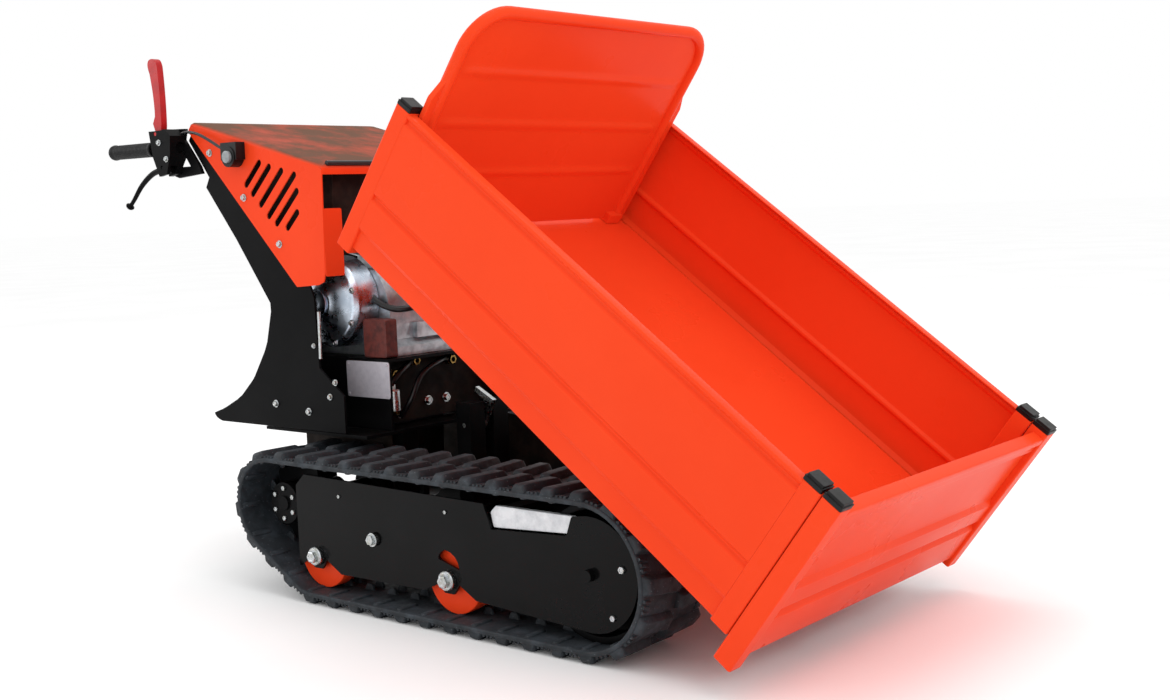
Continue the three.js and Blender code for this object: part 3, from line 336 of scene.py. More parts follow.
# Extruded nitrile hose and cable sheath: black with a faint lengthwise sheen.
SHEATH = finish("extruded_sheath", "0E0E10", "19191B", patch=10, rough=(0.28, 0.4), smear=8, grain=0.6,
                depth=0.03)
# Bead-blasted, clear-anodised aluminium plate, left blank.
PLAIN_PLATE = finish("anodised_plate", "C9C6CE", "BDBAC3", patch=12, rough=(0.34, 0.46), smear=7, grain=0.5,
                     depth=0.03, metallic=0.2)
# Sand-cast iron housing under an oily black film: dark, blotched, half dull and half wet.
OILED_CAST = finish("oiled_cast_iron", "1C1D1F", "0E0E10", patch=26, rough=(0.28, 0.6), smear=12, grain=1.6,
                    depth=0.2, metallic=0.3, specular=0.25)
# Oxide-red primed steel in the shade of the engine bay.
PRIMER = finish("red_oxide_primer", "6B2A22", "4A1D18", patch=14, rough=(0.5, 0.66), smear=9, grain=0.9,
                depth=0.05)
# Matt black with brown-tinged patches, for the dark sheets that stand in for the shade inside the hood and
# the engine bay: painted shade.
SHADE_BLACK = finish("painted_shade_black", "120E0C", "2B211B", patch=45, rough=(0.6, 0.8), smear=20, grain=1.2,
                      depth=0.05, specular=0.15)
# A white strip on each track plate that stands in for the bright reflection along the plate's top edge: a
# painted highlight, not a real slide rail.
PAINTED_HIGHLIGHT = finish("painted_highlight_white", "E9EBEE", "C9CCD0", patch=30, rough=(0.2, 0.34), smear=16,
                  grain=1.5, depth=0.03, coat=0.3)


# ---------------------------------------------------------------- making pieces
def smooth_group():
    """A geometry node group that shades its mesh smooth and leaves its shape alone."""
    group = bpy.data.node_groups.new("smooth_shade", "GeometryNodeTree")
    group.interface.new_socket("Geometry", in_out="INPUT", socket_type="NodeSocketGeometry")
    group.interface.new_socket("Geometry", in_out="OUTPUT", socket_type="NodeSocketGeometry")
    entry, leave = group.nodes.new("NodeGroupInput"), group.nodes.new("NodeGroupOutput")
    shade = group.nodes.new("GeometryNodeSetShadeSmooth")
    group.links.new(entry.outputs[0], shade.inputs[0])
    group.links.new(shade.outputs[0], leave.inputs[0])
    return group


SMOOTH = smooth_group()


def soften(piece, width, segments=2, angle=30, weld=False):
    """Rounds a piece's hard edges by so many millimetres, and shades it by its larger faces."""
    if weld:
        piece.modifiers.new("weld", "WELD").merge_threshold = 1e-5
    edges = piece.modifiers.new("edges", "BEVEL")
    edges.width = width * MM
    edges.segments = segments
    edges.limit_method = "ANGLE"
    edges.angle_limit = math.radians(angle)
    piece.modifiers.new("smooth", "NODES").node_group = SMOOTH
    piece.modifiers.new("normals", "WEIGHTED_NORMAL")


def build(name, parts, material, body, replaces=(), sharp=35, bevel=0, segments=2, ride=True):
    """Joins closed parts in one mesh, merges doubles, turns its faces outwards and rides it on its body."""
    corners, faces, start = [], [], 0
    for points, quads in parts:
        corners.append(points)
        faces += [[i + start for i in quad] for quad in quads]
        start += len(points)
    mesh = bpy.data.meshes.new(name)
    mesh.from_pydata(np.concatenate(corners).tolist(), [], faces)
    work = bmesh.new()
    work.from_mesh(mesh)
    bmesh.ops.remove_doubles(work, verts=work.verts, dist=1e-6)
    bmesh.ops.recalc_face_normals(work, faces=work.faces)
    work.to_mesh(mesh)
    work.free()
    mesh.shade_smooth()
    mesh.set_sharp_from_angle(angle=math.radians(sharp))
    piece = bpy.data.objects.new(name, mesh)
    bpy.context.scene.collection.objects.link(piece)
    piece.data.materials.append(material)
    if bevel:
        soften(piece, bevel, segments)
    if ride:
        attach(piece, body)
    if replaces:
        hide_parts(*replaces)
    return piece


def keep(names, material, width=0.8, segments=2, angle=30):
    """CAD nodes that stay: each takes a finish and rounded edges."""
    for name in names.split():
        piece = NODES[name]
        piece.data.materials.clear()
        piece.data.materials.append(material)
        soften(piece, width, segments, angle, weld=True)


def both(pattern):
    """A node name's right and left forms."""
    return " ".join(pattern.format(name) for name, _ in SIDES)


def bolt(centre, axis, size=8, washer=True):
    """A hexagon bolt: a chamfered six-sided head with a dished face, over a plain washer."""
    axis = unit(np.asarray(axis, float))
    centre = np.asarray(centre, float)
    base = 1.6 if washer else 0.0
    top = base + size * 0.66
    across = size * 0.95
    parts = [lathe([[0, base], [across * 0.98, base], [across, base + 0.5], [across, top - 1.2],
                    [across * 0.86, top], [size * 0.52, top], [size * 0.44, top - 0.8], [0, top - 0.8]],
                   centre, axis, steps=6)]
    if washer:
        rim = size * 1.2
        parts.append(lathe([[0, 0], [rim, 0], [size * 1.25, 0.3], [size * 1.25, 1.2], [rim, 1.6], [0, 1.6]],
                           centre, axis, steps=28))
    return parts


# ---------------------------------------------------------------- camera and cable
def camera():
    """A 45 mm lens on a 36 mm film, ahead of the machine on its right, a little above the tub."""
    lens = bpy.data.cameras.new("camera")
    lens.lens = 45.27
    lens.sensor_width = 36
    eye = bpy.data.objects.new("camera", lens)
    right, up = (0.77217, 0.63430, -0.03755), (-0.03517, 0.10168, 0.99420)
    back = (0.63444, -0.76637, 0.10082)
    place = (1.967 + DRAWING_X, -2.060, 0.723)
    eye.matrix_world = Matrix([[right[i], up[i], back[i], place[i]] for i in range(3)] + [[0, 0, 0, 1]])
    bpy.context.scene.collection.objects.link(eye)
    bpy.context.scene.camera = eye


camera()


def control_cable():
    """The stop switch's sheathed cable: a circle carried along a smooth curve from bracket to switch."""
    route = np.array([[-561, -256, 888], [-540, -257, 890], [-505, -258, 884], [-470, -258, 870],
                      [-440, -258, 856], [-427, -258, 851]], float)
    path = smooth_path(at(*route.T), 10)
    sheath = build("stop_cable_sheath", [tube(path, 3, 14)], SHEATH, "chassis",
                   replaces=("stop_cable",), sharp=60)


control_cable()


# ---------------------------------------------------------------- tub
TUB_HALF, POST, POST_DEPTH, TUB_TOP, TUB_LENGTH = 366.5, 34, 32, 310, 1007


def post(u, side, low):
    """A square tube post: a rounded ring section carried up from low to the top of the walls."""
    middle_u, middle_y = u + POST / 2, side * (TUB_HALF - POST_DEPTH / 2)
    outer, inner = box_outline(POST, POST_DEPTH, 4), box_outline(POST - 6, POST_DEPTH - 6, 2)
    rings = [(outer, low), (outer, TUB_TOP), (inner, TUB_TOP), (inner, low)]
    return grid(np.stack([in_tub(middle_u + ring[:, 0], middle_y + ring[:, 1], w) for ring, w in rings]),
                wrap_rows=True, wrap_columns=True)


SHEET, FOLD = 2.5, 3.0


def pressed(face, flange):
    """A pressed sheet's closed section: its outer face, a flange at both edges, and that line set back."""
    face = np.asarray(face, float)
    back = face[::-1] - [SHEET, 0]
    low, high = face[0][1], face[-1][1]
    back[0][1], back[-1][1] = high - SHEET, low + SHEET
    outline = [[flange, low], *face, [flange, high], [flange, high - SHEET], *back, [flange, low + SHEET]]
    return rounded(outline, FOLD, 3)


def slide_bar(point, along, length):
    """A square slide tube with rounded edges, carried straight from its start."""
    centres = np.stack([point, point + along * length * MM])
    up = SQUARE
    return capped(sweep(box_outline(25, 25, 3), centres, np.cross(up, along), up))


def side_wall(name, side):
    out = TUB_HALF - 0.5
    groove, crease = out - 6, out - 5
    face = [[groove, 40], [groove, 76], [out, 85], [out, 139], [crease, 144], [crease, 149], [out, 154],
            [out, 288], [crease, 293], [crease, 298], [out, 303], [out, TUB_TOP - 2]]
    section = pressed(face, 347.5)
    front = TUB_LENGTH - POST - 1.4
    sheet = capped(np.stack([in_tub(u, side * section[:, 0], section[:, 1])
                             for u in np.linspace(POST - 1, front - POST + 1, 9)]))
    body = f"side_wall_{name}"
    build(f"side_sheet_{name}", [sheet], ORANGE, body, (f"side_panel_{name}",), sharp=50)
    posts = [post(0, side, 29), post(front - POST, side, 39)]
    build(f"side_posts_{name}", posts, ORANGE, body, bevel=0.8)
    bars = [slide_bar(in_tub(u, side * 100, 60), side * Y_AXIS, groove - 101) for u in (150, 880)]
    build(f"side_slides_{name}", bars, ZINC, body, bevel=0.5)


def front_wall():
    out, half = TUB_LENGTH - 5, TUB_HALF - POST_DEPTH + 1
    groove = out - 7
    face = [[out, 14], [out, 86], [groove, 93], [groove, 100], [out, 107], [out, 144], [groove, 153],
            [groove, 261], [out, 270], [out, 284], [TUB_LENGTH - 1, 288], [TUB_LENGTH - 1, 300]]
    section = pressed(face, out - 18)
    sheet = capped(np.stack([in_tub(section[:, 0], y, section[:, 1]) for y in np.linspace(-half, half, 9)]))
    build("front_sheet", [sheet], ORANGE, "front_wall", ("front_panel",), sharp=50)
    posts = [post(TUB_LENGTH - POST, side, -3) for _, side in SIDES]
    build("front_posts", posts, ORANGE, "front_wall", bevel=0.8)
    bars = [slide_bar(in_tub(650, side * 120, 26), ALONG, groove - 651) for _, side in SIDES]
    build("front_slides", bars, ZINC, "front_wall", bevel=0.5)


def headboard():
    u, r, half, top, corner = 42, 11, 321, 511, 72
    quarter = np.linspace(0, math.pi / 2, 12)
    left = np.stack([half - corner + corner * np.cos(quarter), top - corner + corner * np.sin(quarter)], 1)
    right = left[::-1] * [-1, 1]
    line = np.concatenate([[[half, 92]], left, right, [[-half, 92]]])
    path = in_tub(u, line[:, 0], line[:, 1])
    build("headboard_tube", [tube(path, r, 24, level=ALONG)], ORANGE, "tub",
          ("headboard_frame",), sharp=50)
    fittings = []
    for _, side in SIDES:
        bracket = np.array([[half, 79], [345.5, 79], [345.5, 347], [329, 384], [half, 384]]) * [side, 1]
        fittings.append(prism(rounded(bracket, 6), lambda y, w, h: in_tub(h, y, w), u - 5, u + 6))
        foot = box_outline(36, 40, 4) + [u - 2, side * (half - 14)]
        fittings.append(prism(foot, lambda a, b, h: in_tub(a, b, h), 79, 100))
    build("headboard_brackets", fittings, ORANGE, "tub", bevel=1.5)
    # The sheet reaches the tube's inner edge: straight sides, then a quarter circle at each top corner.
    # Its depth follows a shallow smooth rib wherever w is near 200, 300 or 400 mm.
    bend = corner - r
    over = top - corner + bend * np.sin(np.linspace(0, math.pi / 2, 16))
    w = np.concatenate([np.linspace(84, 438, 70), over])[:, None]
    rise = np.clip(w - (top - corner), 0, None)
    inner = half - corner + np.sqrt(np.clip((bend + 0.5) ** 2 - rise ** 2, 0, None))
    y = np.linspace(-1, 1, 60)[None, :] * inner
    fade = np.clip((inner - 12 - np.abs(y)) / 8, 0, 1)
    rib = sum(np.exp(-((w - at_w) / 7.0) ** 4) for at_w in (200, 300, 400)) * 2.4 * fade
    front, back = in_tub(u + 1.5 + rib, y, w + 0 * y), in_tub(u - 1.5 + rib, y, w + 0 * y)
    ring = np.concatenate([front, back[:, ::-1]], 1)
    build("headboard_panel", [capped(ring)], ORANGE, "tub", ("headboard_sheet",), sharp=50)


for side_name, side_sign in SIDES:
    side_wall(side_name, side_sign)
front_wall()
headboard()
keep("tub_floor", ORANGE, 1.2)
for cap in ("post_cap_rear_{}", "post_cap_front_{}", "front_panel_cap_{}"):
    keep(both(cap), ABS, 2.0, 3)


# ---------------------------------------------------------------- tracks
TRACK_MID = 255
IDLER, SPROCKET, ROLLER = (517, 137, 115), (-243, 172, 84), (-138, 86, 64)
ROLLERS = {"rear": (-138, 86), "middle": (203, 86)}
BELT_THICK, LUG_HEIGHT, LUG_WIDTH, LUG_PITCH = 10, 12, 24, 60


def loop_runs(circles):
    """A belt's arcs and straight runs round circles: each arc's start, sweep and length, then its run."""
    runs = []
    ahead = [*circles[1:], circles[0]]
    tangents = [math.atan2(b[1] - a[1], b[0] - a[0])
                - math.acos((a[2] - b[2]) / math.hypot(b[0] - a[0], b[1] - a[1]))
                for a, b in zip(circles, ahead)]
    for i, ((x, z, r), (nx, nz, nr)) in enumerate(zip(circles, ahead)):
        arrive, leave = tangents[i - 1], tangents[i]
        turn = (leave - arrive) % (2 * math.pi)
        runs.append(("arc", (x, z, r, arrive, turn), r * turn))
        normal = np.array([math.cos(leave), math.sin(leave)])
        start, end = np.array([x, z]) + r * normal, np.array([nx, nz]) + nr * normal
        runs.append(("run", (start, end, leave), float(np.linalg.norm(end - start))))
    return runs


RUNS = loop_runs([IDLER, SPROCKET, ROLLER])
LOOP = sum(run[2] for run in RUNS)
LUGS = round(LOOP / LUG_PITCH)
PITCH = LOOP / LUGS


def on_loop(s, height):
    """X and Z at a distance s round the belt and a height out from its inner face, for whole arrays."""
    s, height = np.broadcast_arrays(np.asarray(s, float) % LOOP, height)
    x, z, start = np.zeros(s.shape), np.zeros(s.shape), 0.0
    for kind, data, length in RUNS:
        t = (s - start) / length
        here = (t >= 0) & (t <= 1)
        if kind == "arc":
            cx, cz, r, arrive, turn = data
            angle = arrive + turn * t
            px, pz = cx + (r + height) * np.cos(angle), cz + (r + height) * np.sin(angle)
        else:
            a, b, leave = data
            px = a[0] + (b[0] - a[0]) * t + height * math.cos(leave)
            pz = a[1] + (b[1] - a[1]) * t + height * math.sin(leave)
        x, z = np.where(here, px, x), np.where(here, pz, z)
        start += length
    return x, z


def belt_block(s, height, y, side):
    """Points of the belt from distances round it, heights out of it and places across it."""
    s, height, y = np.broadcast_arrays(s, height, y)
    x, z = on_loop(s, height)
    return at(x, side * y, z)


def lug(start, near, far, side, lean):
    """A tread lug: a rounded trapezoid carried across the belt, leaning forward as it nears the edge."""
    width = LUG_WIDTH
    section = rounded([[-width / 2 - 4, 8.5], [-width / 2 + 2, BELT_THICK + LUG_HEIGHT],
                       [width / 2 - 2, BELT_THICK + LUG_HEIGHT], [width / 2 + 4, 8.5]], 2.5, 3)
    t = np.array([0, 0.03, 0.08, 0.3, 0.55, 0.8, 0.92, 0.97, 1.0])[:, None]
    y = near + (far - near) * t
    ends = np.array([0.55, 0.85, 1, 1, 1, 1, 1, 0.85, 0.55])[:, None]
    height = 8.5 + (section[None, :, 1] - 8.5) * ends
    s = start + section[None, :, 0] * (0.8 + 0.2 * ends) + lean * (t - 0.5) * 2
    return capped(belt_block(s, height, y, side))


def finger(start, place, side):
    """A small rib on the belt's outer shoulder: a half-round ridge that fades out inwards."""
    section = rounded([[-3.2, 8.0], [-2.0, 13.0], [2.0, 13.0], [3.2, 8.0]], 1.6, 2)
    t = np.linspace(0, 1, 4)[:, None]
    height = 8.0 + (section[None, :, 1] - 8.0) * (1 - 0.6 * (1 - t) ** 2)
    return capped(belt_block(start + section[None, :, 0] + 5 * t, height, place + 20 * t, side))


def horn(start, offset, side):
    """A guide horn: a tapered block on the belt's inner face, one each side of the sprocket's disc."""
    heights = np.array([-11.0, -10.5, -6.0, 1.5])[:, None]
    loop = box_outline(1, 1, 0.16, 3)
    long, wide = np.array([[11], [14], [19], [24]]), np.array([[4], [4.6], [6], [7]])
    across = TRACK_MID + offset + loop[None, :, 1] * wide
    return capped(belt_block(start + loop[None, :, 0] * long, heights, across, side))


def window(start, place, side):
    """A drive pad between the horns: a low rounded bar across the belt's inner face."""
    heights = np.array([-3.0, -2.2, 1.0])[:, None]
    loop = box_outline(1, 1, 0.2, 2)
    long, wide = np.array([[9], [11], [13]]), np.array([[40], [43], [45]])
    across = place + loop[None, :, 1] * wide
    return capped(belt_block(start + loop[None, :, 0] * long, heights, across, side))


def track(name, side):
    count = 4 * LUGS
    stations = np.arange(count) * LOOP / count
    section = rounded([[165, 0.5], [172, 0], [338, 0], [345, 0.5], [345, 8], [338, BELT_THICK],
                       [172, BELT_THICK], [165, 8]], 3, 3)
    body = grid(belt_block(stations[:, None], section[None, :, 1], section[None, :, 0], side),
                wrap_rows=True, wrap_columns=True)
    parts = [body]
    # The joint of the first lug is the same as the solid's, so that its flat foot meets the ground.
    first = (0.72 + 0.27) * PITCH
    for i in range(LUGS):
        s = first + i * PITCH
        parts.append(lug(s, 257, 343, side, 5))
        parts.append(lug(s + PITCH / 2, 167, 253, side, -5))
        parts += [horn(s + PITCH * 0.5, offset, side) for offset in (-12, 12)]
        for shift in (0.36, 0.5, 0.64):
            parts.append(finger(s + PITCH * shift, 322, side))
            parts.append(finger(s + PITCH * (shift - 0.5), 168, side))
        parts.append(window(s, TRACK_MID + 62, side))
    build(f"track_rubber_{name}", parts, TRACK, "chassis", (f"track_belt_{name}",),
          sharp=40)


def flat_wheel(x, z, radius, groove, side):
    """A roller's closed profile turned about its axle: flat ends, two treads, and a groove between them."""
    a, b = TRACK_MID - 48, TRACK_MID + 48
    profile = rounded([[10.5, a], [radius, a], [radius, TRACK_MID - 20], [groove, TRACK_MID - 17],
                       [groove, TRACK_MID + 17], [radius, TRACK_MID + 20], [radius, b], [10.5, b]], 2.0, 3)
    return lathe(profile * [1, side], at(x, 0, z), Y_AXIS, 72, ring=True)


def grooved_wheel(x, z, radius, groove, hub, side):
    """A wheel's closed profile turned about its axle: two treads, a groove between, and a dished web."""
    a, b, web = TRACK_MID - 48, TRACK_MID + 48, 8
    profile = rounded([[10.5, a + 4], [hub, a + 4], [hub, TRACK_MID - web],
                       [radius - 14, TRACK_MID - web - 6],
                       [radius - 12, a], [radius, a], [radius, TRACK_MID - 20], [groove, TRACK_MID - 17],
                       [groove, TRACK_MID + 17], [radius, TRACK_MID + 20], [radius, b], [radius - 12, b],
                       [radius - 14, TRACK_MID + web + 6], [hub, TRACK_MID + web],
                       [hub, b - 4], [10.5, b - 4]],
                      2.0, 3)
    return lathe(profile * [1, side], at(x, 0, z), Y_AXIS, 72, ring=True)


def wheels(name, side):
    x, z, r = IDLER
    build(f"idler_wheel_{name}", [grooved_wheel(x, z, r - 1, r - 15, 30, side)], BLACK, f"idler_{name}",
          (f"front_idler_{name}",), sharp=40)
    for place, (rx, rz) in ROLLERS.items():
        build(f"roller_wheel_{place}_{name}", [flat_wheel(rx, rz, 63, 50, side)], ORANGE,
              f"roller_{place}_{name}", (f"road_roller_{place}_{name}",), sharp=40)
    hub = [part for k in range(6) for part in bolt(
        at(SPROCKET[0] + 29 * math.cos(k * math.pi / 3 + 0.5), side * 304, SPROCKET[1] + 29 * math.sin(
            k * math.pi / 3 + 0.5)), side * Y_AXIS, 5.5, washer=False)]
    build(f"hub_bolts_{name}", hub, ZINC, f"sprocket_{name}", sharp=30)


def track_fittings(name, side):
    out = side * Y_AXIS
    parts = []
    for x, z in ROLLERS.values():
        parts += bolt(at(x, side * 327, z), out, 12)
        parts.append(lathe([[0, 0], [17, 0], [17.5, 1], [17.5, 9], [16, 11], [0, 11]],
                           at(x, side * 316.7, z), out, 32))
    parts += bolt(at(18, side * 322, 135), out, 10)
    parts.append(lathe([[0, 0], [10, 0], [10, 6], [0, 6]], at(18, side * 316.5, 135), out, 24))
    parts += bolt(at(-71, side * 316.5, 204), out, 4, washer=False)
    parts += bolt(at(201, side * 316.5, 204), out, 4, washer=False)
    parts += bolt(at(582, side * 316.5, 154), out, 7, washer=False)
    parts += bolt(at(561, side * 316.5, 74), out, 6, washer=False)
    build(f"track_bolts_{name}", parts, ZINC, "chassis", sharp=30)
    # The white strip is a painted highlight: it stands in for the reflection along the top edge of the
    # glossy track plate.
    highlight_outline = rounded([[306, 188], [470, 196], [486, 206], [480, 226], [313, 226], [300, 214]], 5)
    build(f"painted_highlight_strip_{name}", [prism(highlight_outline, side_place(side), 300, 310)], PAINTED_HIGHLIGHT, "chassis",
          bevel=1.5, segments=3)


for side_name, side_sign in SIDES:
    track(side_name, side_sign)
    wheels(side_name, side_sign)
    track_fittings(side_name, side_sign)
keep(both("track_side_plate_{}") + " " + both("track_beam_{}"), GLOSS_BLACK, 1.2, 3)
keep(both("drive_sprocket_{}"), BLACK, 1.5)


# ---------------------------------------------------------------- chassis and column
keep("chassis_frame engine_bench rear_shield column_brace", BLACK, 1.2)
keep(both("column_plate_{}"), BLACK, 1.0)
keep("hinge_pin tip_latch tensioner_arm", ZINC, 0.8)


def column_fittings():
    parts = []
    for _, side in SIDES:
        out = side * Y_AXIS
        for x, z, size in ((-207, 468, 4), (-151, 400, 5), (-168, 372, 5), (-330, 350, 6), (-232, 340, 6)):
            parts += bolt(at(x, side * 241, z), out, size)
    build("column_bolts", parts, ZINC, "chassis", sharp=30)
    rod = tube(at(np.array([-181, -181.5, -182, -183]), -247.0, np.array([534, 505, 475, 445])), 3.2, 14)
    build("tie_rod", [rod], ZINC, "chassis", sharp=50)
    outline = box_outline(120, 70, 5) + [-142, 398]
    dome = [[0, 0], [3, 0], [2.6, 1.2], [1.2, 1.8], [0, 1.9]]
    rivets = [lathe(dome, at(-142 + a * 54, -167.6, 398 + b * 29), -Y_AXIS, 16)
              for a in (-1, 1) for b in (-1, 1)]
    build("blank_plate", [prism(outline, side_place(-1), 166.3, 167.6), *rivets], PLAIN_PLATE, "chassis",
          bevel=0.3)


column_fittings()


# ---------------------------------------------------------------- hood
# Each slot is its upper end's X and Z, and its length.
SLOTS = ((-331, 824, 72), (-302, 815, 86), (-266, 806, 104), (-229, 797, 124), (-224, 766, 100),
         (-226, 726, 54))
SLOT_ANGLE = math.radians(223)


def hood():
    half, thick, roll = 244.5, 2.5, 7.0
    # The top sheet's line from its front lip, over the bend, back along the slope and down its rear edge.
    order = np.array([[-155, 790], [-155, 801], [-156.5, 805.5], [-161, 809.2], [-200, 819.6],
                      [-300, 846.2], [-400, 872.9], [-500, 899.5], [-532, 908], [-541, 909.2],
                      [-549, 907], [-553.5, 902],
                      [-556, 894]])
    tangent = unit(np.gradient(order, axis=0))
    outward = np.stack([tangent[:, 1], -tangent[:, 0]], 1)
    # Across the hood the sheet rolls over each side: flat, then a quarter circle down to the side plate.
    arc = np.linspace(0, math.pi / 2, 7)
    edge_y, edge_drop = half - roll + roll * np.sin(arc), roll * (1 - np.cos(arc))
    y = np.concatenate([-edge_y[::-1], np.linspace(-half + 30, half - 30, 9), edge_y])
    drop = np.concatenate([edge_drop[::-1], np.zeros(9), edge_drop])
    def shell(inset):
        xz = order[:, None, :] - outward[:, None, :] * (drop[None, :, None] + inset)
        return at(xz[..., 0], y[None, :] * (1 - inset / half), xz[..., 1])
    outer, inner = shell(0), shell(thick)
    top_sheet = capped(np.concatenate([outer, inner[:, ::-1]], 1))
    parts = [top_sheet]
    outline = rounded([[-243, 580], [-180, 584], [-164, 590], [-160, 606], [-155, 790], [-156, 801.5],
                       [-532, 901.5], [-549, 901], [-556, 892]], 6, 4)
    for _, side in SIDES:
        holes = [slot_hole(x, z, length, 6.8, SLOT_ANGLE)[::-1] for x, z, length in SLOTS]
        parts.append(plate(outline, holes, side_place(side), half - thick, half))
        flange = rounded([[198, 600], [half - 1, 600], [half - 1, 727], [198, 727]], 5)
        parts.append(prism(flange * [side, 1], lambda a, b, h: at(h, a, b), -160, -157.5))
    build("hood_shell", parts, HOOD_ORANGE, "chassis", ("hood",), sharp=40)
    # A dark sheet inside each side, and three across the front, stand in for the shade inside the hood that
    # shows through the louvres: painted shade.
    shade = rounded([[-244, 590], [-176, 594], [-168, 790], [-172, 797], [-526, 892], [-546, 886]], 8)
    sheets = [prism(shade, side_place(side), 206, 208) for _, side in SIDES]
    for low, high, floor in ((-205, -72, 640), (-72, 56, 760), (56, 205, 640)):
        sheets.append(prism([[low, floor], [high, floor], [high, 798], [low, 798]],
                            lambda y, z, h: at(h, y, z), -186, -184))
    build("hood_shade_sheets", sheets, SHADE_BLACK, "chassis")
    lip = smooth_path(at(-158, np.array([-228, 0, 228]), 811), 6)
    build("hood_seal", [tube(lip, 5.0, 12, level=Z_AXIS)], SHEATH, "chassis")
    screws = [part for _, side in SIDES for x, z in ((-488, 846), (-388, 754), (-287, 662))
              for part in bolt(at(x, side * half, z), side * Y_AXIS, 6)]
    build("hood_screws", screws, ZINC, "chassis", sharp=30)


hood()


# ---------------------------------------------------------------- handles and controls
HANDLE_Y, HANDLE_Z = 258, 861


def grips():
    for name, side in SIDES:
        # The grip's radius follows its length: two collars, a waist, and thirty shallow rings.
        h = np.linspace(0, 150, 151)
        r = 14.6 + 2.2 * np.exp(-((h - 3) / 4.5) ** 2) + 1.6 * np.exp(-((h - 141) / 6) ** 2)
        r = r + 0.45 * np.maximum(0, np.sin(h * 2 * math.pi / 5.0)) * (np.abs(h - 72) < 58)
        r = np.where(h > 146, r - (h - 146) ** 2 * 0.35, r)
        profile = np.concatenate([[[11.3, 0]], np.stack([r, h], 1),
                                  [[0, 150.5]], [[0, 147]], [[11.3, 147]]])
        centre = at(-652, side * HANDLE_Y, HANDLE_Z)
        build(f"handle_grip_{name}", [lathe(profile, centre, -X_AXIS, 40, ring=True)], GRIP, "chassis",
              (f"grip_{name}",), sharp=50)
        x, pinch = -578, bolt(at(-600, side * 284, 872), side * Y_AXIS, 5)
        pinch += bolt(at(x, side * 284, 838), side * Y_AXIS, 5)
        build(f"bracket_screws_{name}", pinch, ZINC, "chassis", sharp=30)


def levers():
    for name, side in SIDES:
        # A forged lever: a round rod that narrows along a smooth curve, and swells to a ball at its tip.
        line = np.array([[-590, 818], [-612, 818], [-650, 811], [-690, 789],
                         [-722, 760], [-742, 744]], float)
        path = smooth_path(at(line[:, 0], side * 269, line[:, 1]), 10)
        t = np.linspace(0, 1, len(path))
        radius = 7.2 - 3.0 * np.clip(t / 0.85, 0, 1) + 5.0 * np.exp(-((t - 0.965) / 0.03) ** 2)
        parts = [tube(path, radius, 20)]
        parts.append(lathe([[0, -6.5], [9.5, -6.5], [10.5, -5.5], [10.5, 5.5], [9.5, 6.5], [0, 6.5]],
                           at(-595, side * 269, 820), Y_AXIS, 32))
        parts.append(lathe([[0, 251], [4, 251], [4, 283], [0, 283]] * np.array([1, side]),
                           at(-595, 0, 820), Y_AXIS, 20))
        build(f"steering_rod_{name}", parts, BLACK, f"steering_{name}",
              (f"steering_lever_{name}",), sharp=50)


grips()
levers()
keep(both("handle_bar_{}") + " " + both("lever_bracket_{}"), BLACK, 1.6, 3)
keep("gear_lever", BLACK, 4.5, 4, 25)
keep("clutch_lever", RED, 5.5, 4, 25)
keep("stop_switch", ABS, 1.6, 3)
keep("stop_button", BUTTON, 2.0, 3)


# ---------------------------------------------------------------- engine
keep("engine_crankcase engine_cylinder", CAST, 2.0, 3)
keep("gearbox", OILED_CAST, 2.0, 3)
keep("gearbox_pulley engine_pulley jockey_pulley", IRON, 0.8)
keep("drive_belt", BELT, 1.0)
keep("fuel_tank", TANK, 8.0, 4, 20)
keep("muffler", CAST, 6.0, 4, 25)
keep("air_cleaner", ABS, 6.0, 4, 25)
keep("fan_cover", POLISHED, 3.0, 3, 20)


def engine_details():
    out = -Y_AXIS
    centre = at(-240, -198, 545)
    rings = [part for k in range(8) for part in bolt(
        at(-240 + 82 * math.cos(k * math.pi / 4 + 0.3), -179, 545 + 82 * math.sin(k * math.pi / 4 + 0.3)),
        out, 5)]
    build("cover_screws", rings, ZINC, "chassis", sharp=30)
    cup = [[0, 0], [24, 0], [26, 1.5], [26, 4], [22, 5], [9, 5.5], [7, 4.5], [0, 4.5]]
    build("starter_cup", [lathe(cup, centre, out, 40)], POLISHED, "chassis", sharp=30)
    hose = smooth_path(at(*np.array([[-190, -140, 590], [-170, -134, 566], [-140, -130, 542],
                                     [-108, -118, 530], [-88, -90, 532], [-84, -50, 540],
                                     [-98, -20, 556]], float).T), 8)
    build("fuel_hose", [tube(hose, 6, 16)], SHEATH, "chassis", sharp=60)
    cast = [lathe([[0, 0], [9, 0], [9, 12], [7, 14], [0, 14]], at(-112, -60, 575), X_AXIS, 6),
            lathe([[0, 0], [7, 0], [7, 10], [5, 16], [0, 16]], at(-112, 20, 560), X_AXIS, 24)]
    build("oil_plugs", cast, BRASS, "chassis", sharp=30)


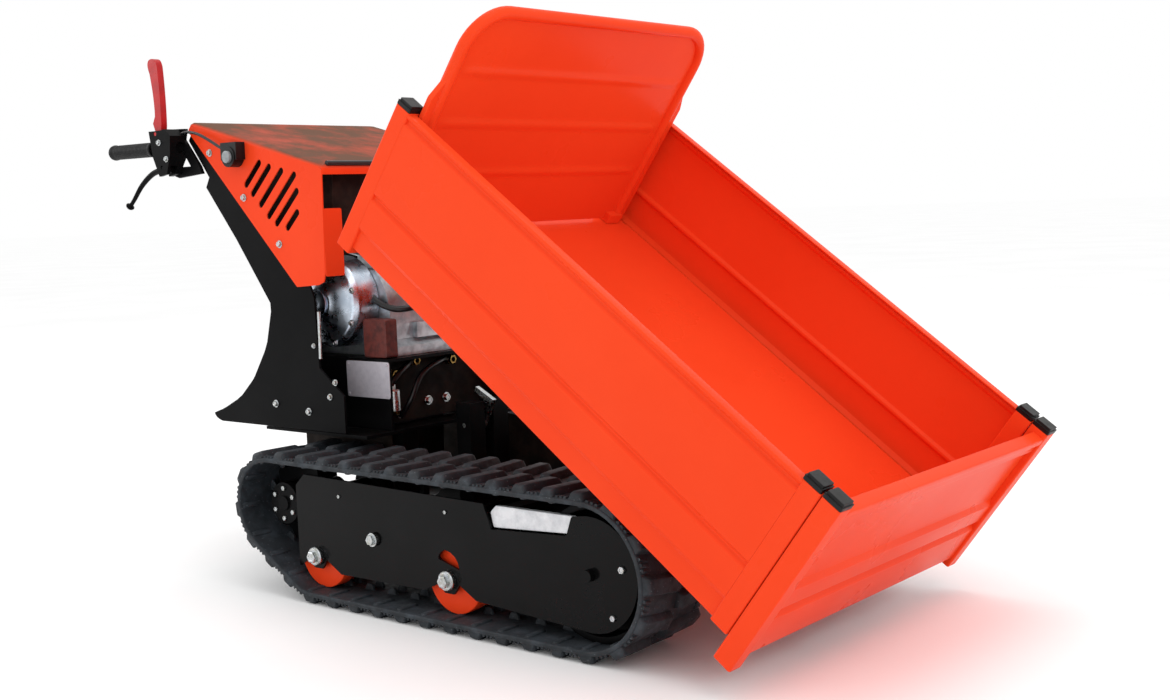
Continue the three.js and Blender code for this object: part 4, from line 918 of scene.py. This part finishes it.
def bench_details():
    # Dark sheets across the bench's front and sides stand in for the shade in the engine bay: painted
    # shade.
    shades = [prism(box_outline(318, 122, 4) + [0, 369], lambda y, z, h: at(h, y, z), -134, -132),
              prism(rounded([[-330, 150], [420, 150], [420, 240], [-90, 296], [-330, 296]], 6),
                    side_place(1), 150, 152),
              *[prism([[-345, 224], [-95, 224], [-95, 301], [-345, 301]], side_place(side), 156, 158)
                for _, side in SIDES]]
    build("bench_shade_sheets", shades, SHADE_BLACK, "chassis")
    curves = ([[-130, -60, 424], [-108, -96, 420], [-104, -128, 402], [-112, -148, 372], [-124, -152, 322]],
              [[-130, 40, 416], [-104, -8, 420], [-102, -64, 398], [-106, -92, 352], [-128, -100, 318]])
    hoses = [tube(smooth_path(at(*np.array(c, float).T), 10), 5.5, 16) for c in curves]
    build("bench_hoses", hoses, SHEATH, "chassis", sharp=60)
    collar = [[6, 0], [10, 0], [11, 1.5], [11, 9], [9, 11], [9, 16], [6, 16]]
    unions = [lathe(collar, at(-132, y, z), X_AXIS, 6, ring=True)
              for y, z in ((-60, 424), (40, 416), (-118, 403), (-118, 334))]
    build("bench_unions", unions, BRASS, "chassis", sharp=30)
    valve = [lathe([[0, 0], [11, 0], [13, 2], [13, 40], [11, 43], [5, 44], [5, 52], [0, 52]],
                   at(-108, -136, 334), Z_AXIS, 32),
             lathe([[0, 0], [8, 0], [9, 1.5], [9, 20], [6, 23], [0, 23]], at(-131, -146, 320), X_AXIS, 24),
             *bolt(at(-132, -20, 340), X_AXIS, 8), *bolt(at(-132, 30, 340), X_AXIS, 8),
             *bolt(at(-132, -100, 322), X_AXIS, 6)]
    build("bench_valve", valve, ZINC, "chassis", sharp=30)
    box_part = prism(box_outline(64, 74, 5) + [-128, 476], side_place(-1), 128, 158)
    build("bench_bracket", [box_part], PRIMER, "chassis", bevel=2)


engine_details()
bench_details()


# ---------------------------------------------------------------- floor and light
def studio():
    """A pale floor, a bright even surround, and three large soft lamps."""
    rows = np.linspace(-60, 60, 3)
    x, y = np.meshgrid(rows, rows)
    points, faces = grid(np.stack([x, y, np.full_like(x, -0.0005)], -1))
    ground = build("floor", [(points, faces)], finish("pale_floor", "FFFFFF", "FCFCFC", patch=900,
                                                      rough=(0.6, 0.7), smear=400, grain=4, depth=0.02,
                                                      specular=0.0), None, ride=False)
    world = bpy.data.worlds.new("surround")
    bpy.context.scene.world = world
    world.use_nodes = True
    tree = world.node_tree
    tree.nodes.clear()
    sky = node(tree, "Background", {"Color": linear("FFFFFF"), "Strength": 1.0})
    node(tree, "OutputWorld", {"Surface": sky.outputs["Background"]})
    for name, place, size, power in (("key", (3.4, -1.2, 4.0), 2.4, 38), ("top", (-0.2, 0.3, 4.4), 3.0, 34),
                                     ("rim", (-3.4, -1.8, 2.0), 1.6, 16)):
        lamp = bpy.data.lights.new(name, "AREA")
        lamp.size = size
        lamp.energy = power
        light = bpy.data.objects.new(name, lamp)
        aim = Vector((0, 0, 0.4)) - Vector(place)
        light.matrix_world = Matrix.Translation(place) @ aim.to_track_quat("-Z", "Y").to_matrix().to_4x4()
        bpy.context.scene.collection.objects.link(light)
    bpy.context.scene.view_settings.view_transform = "Standard"


studio()
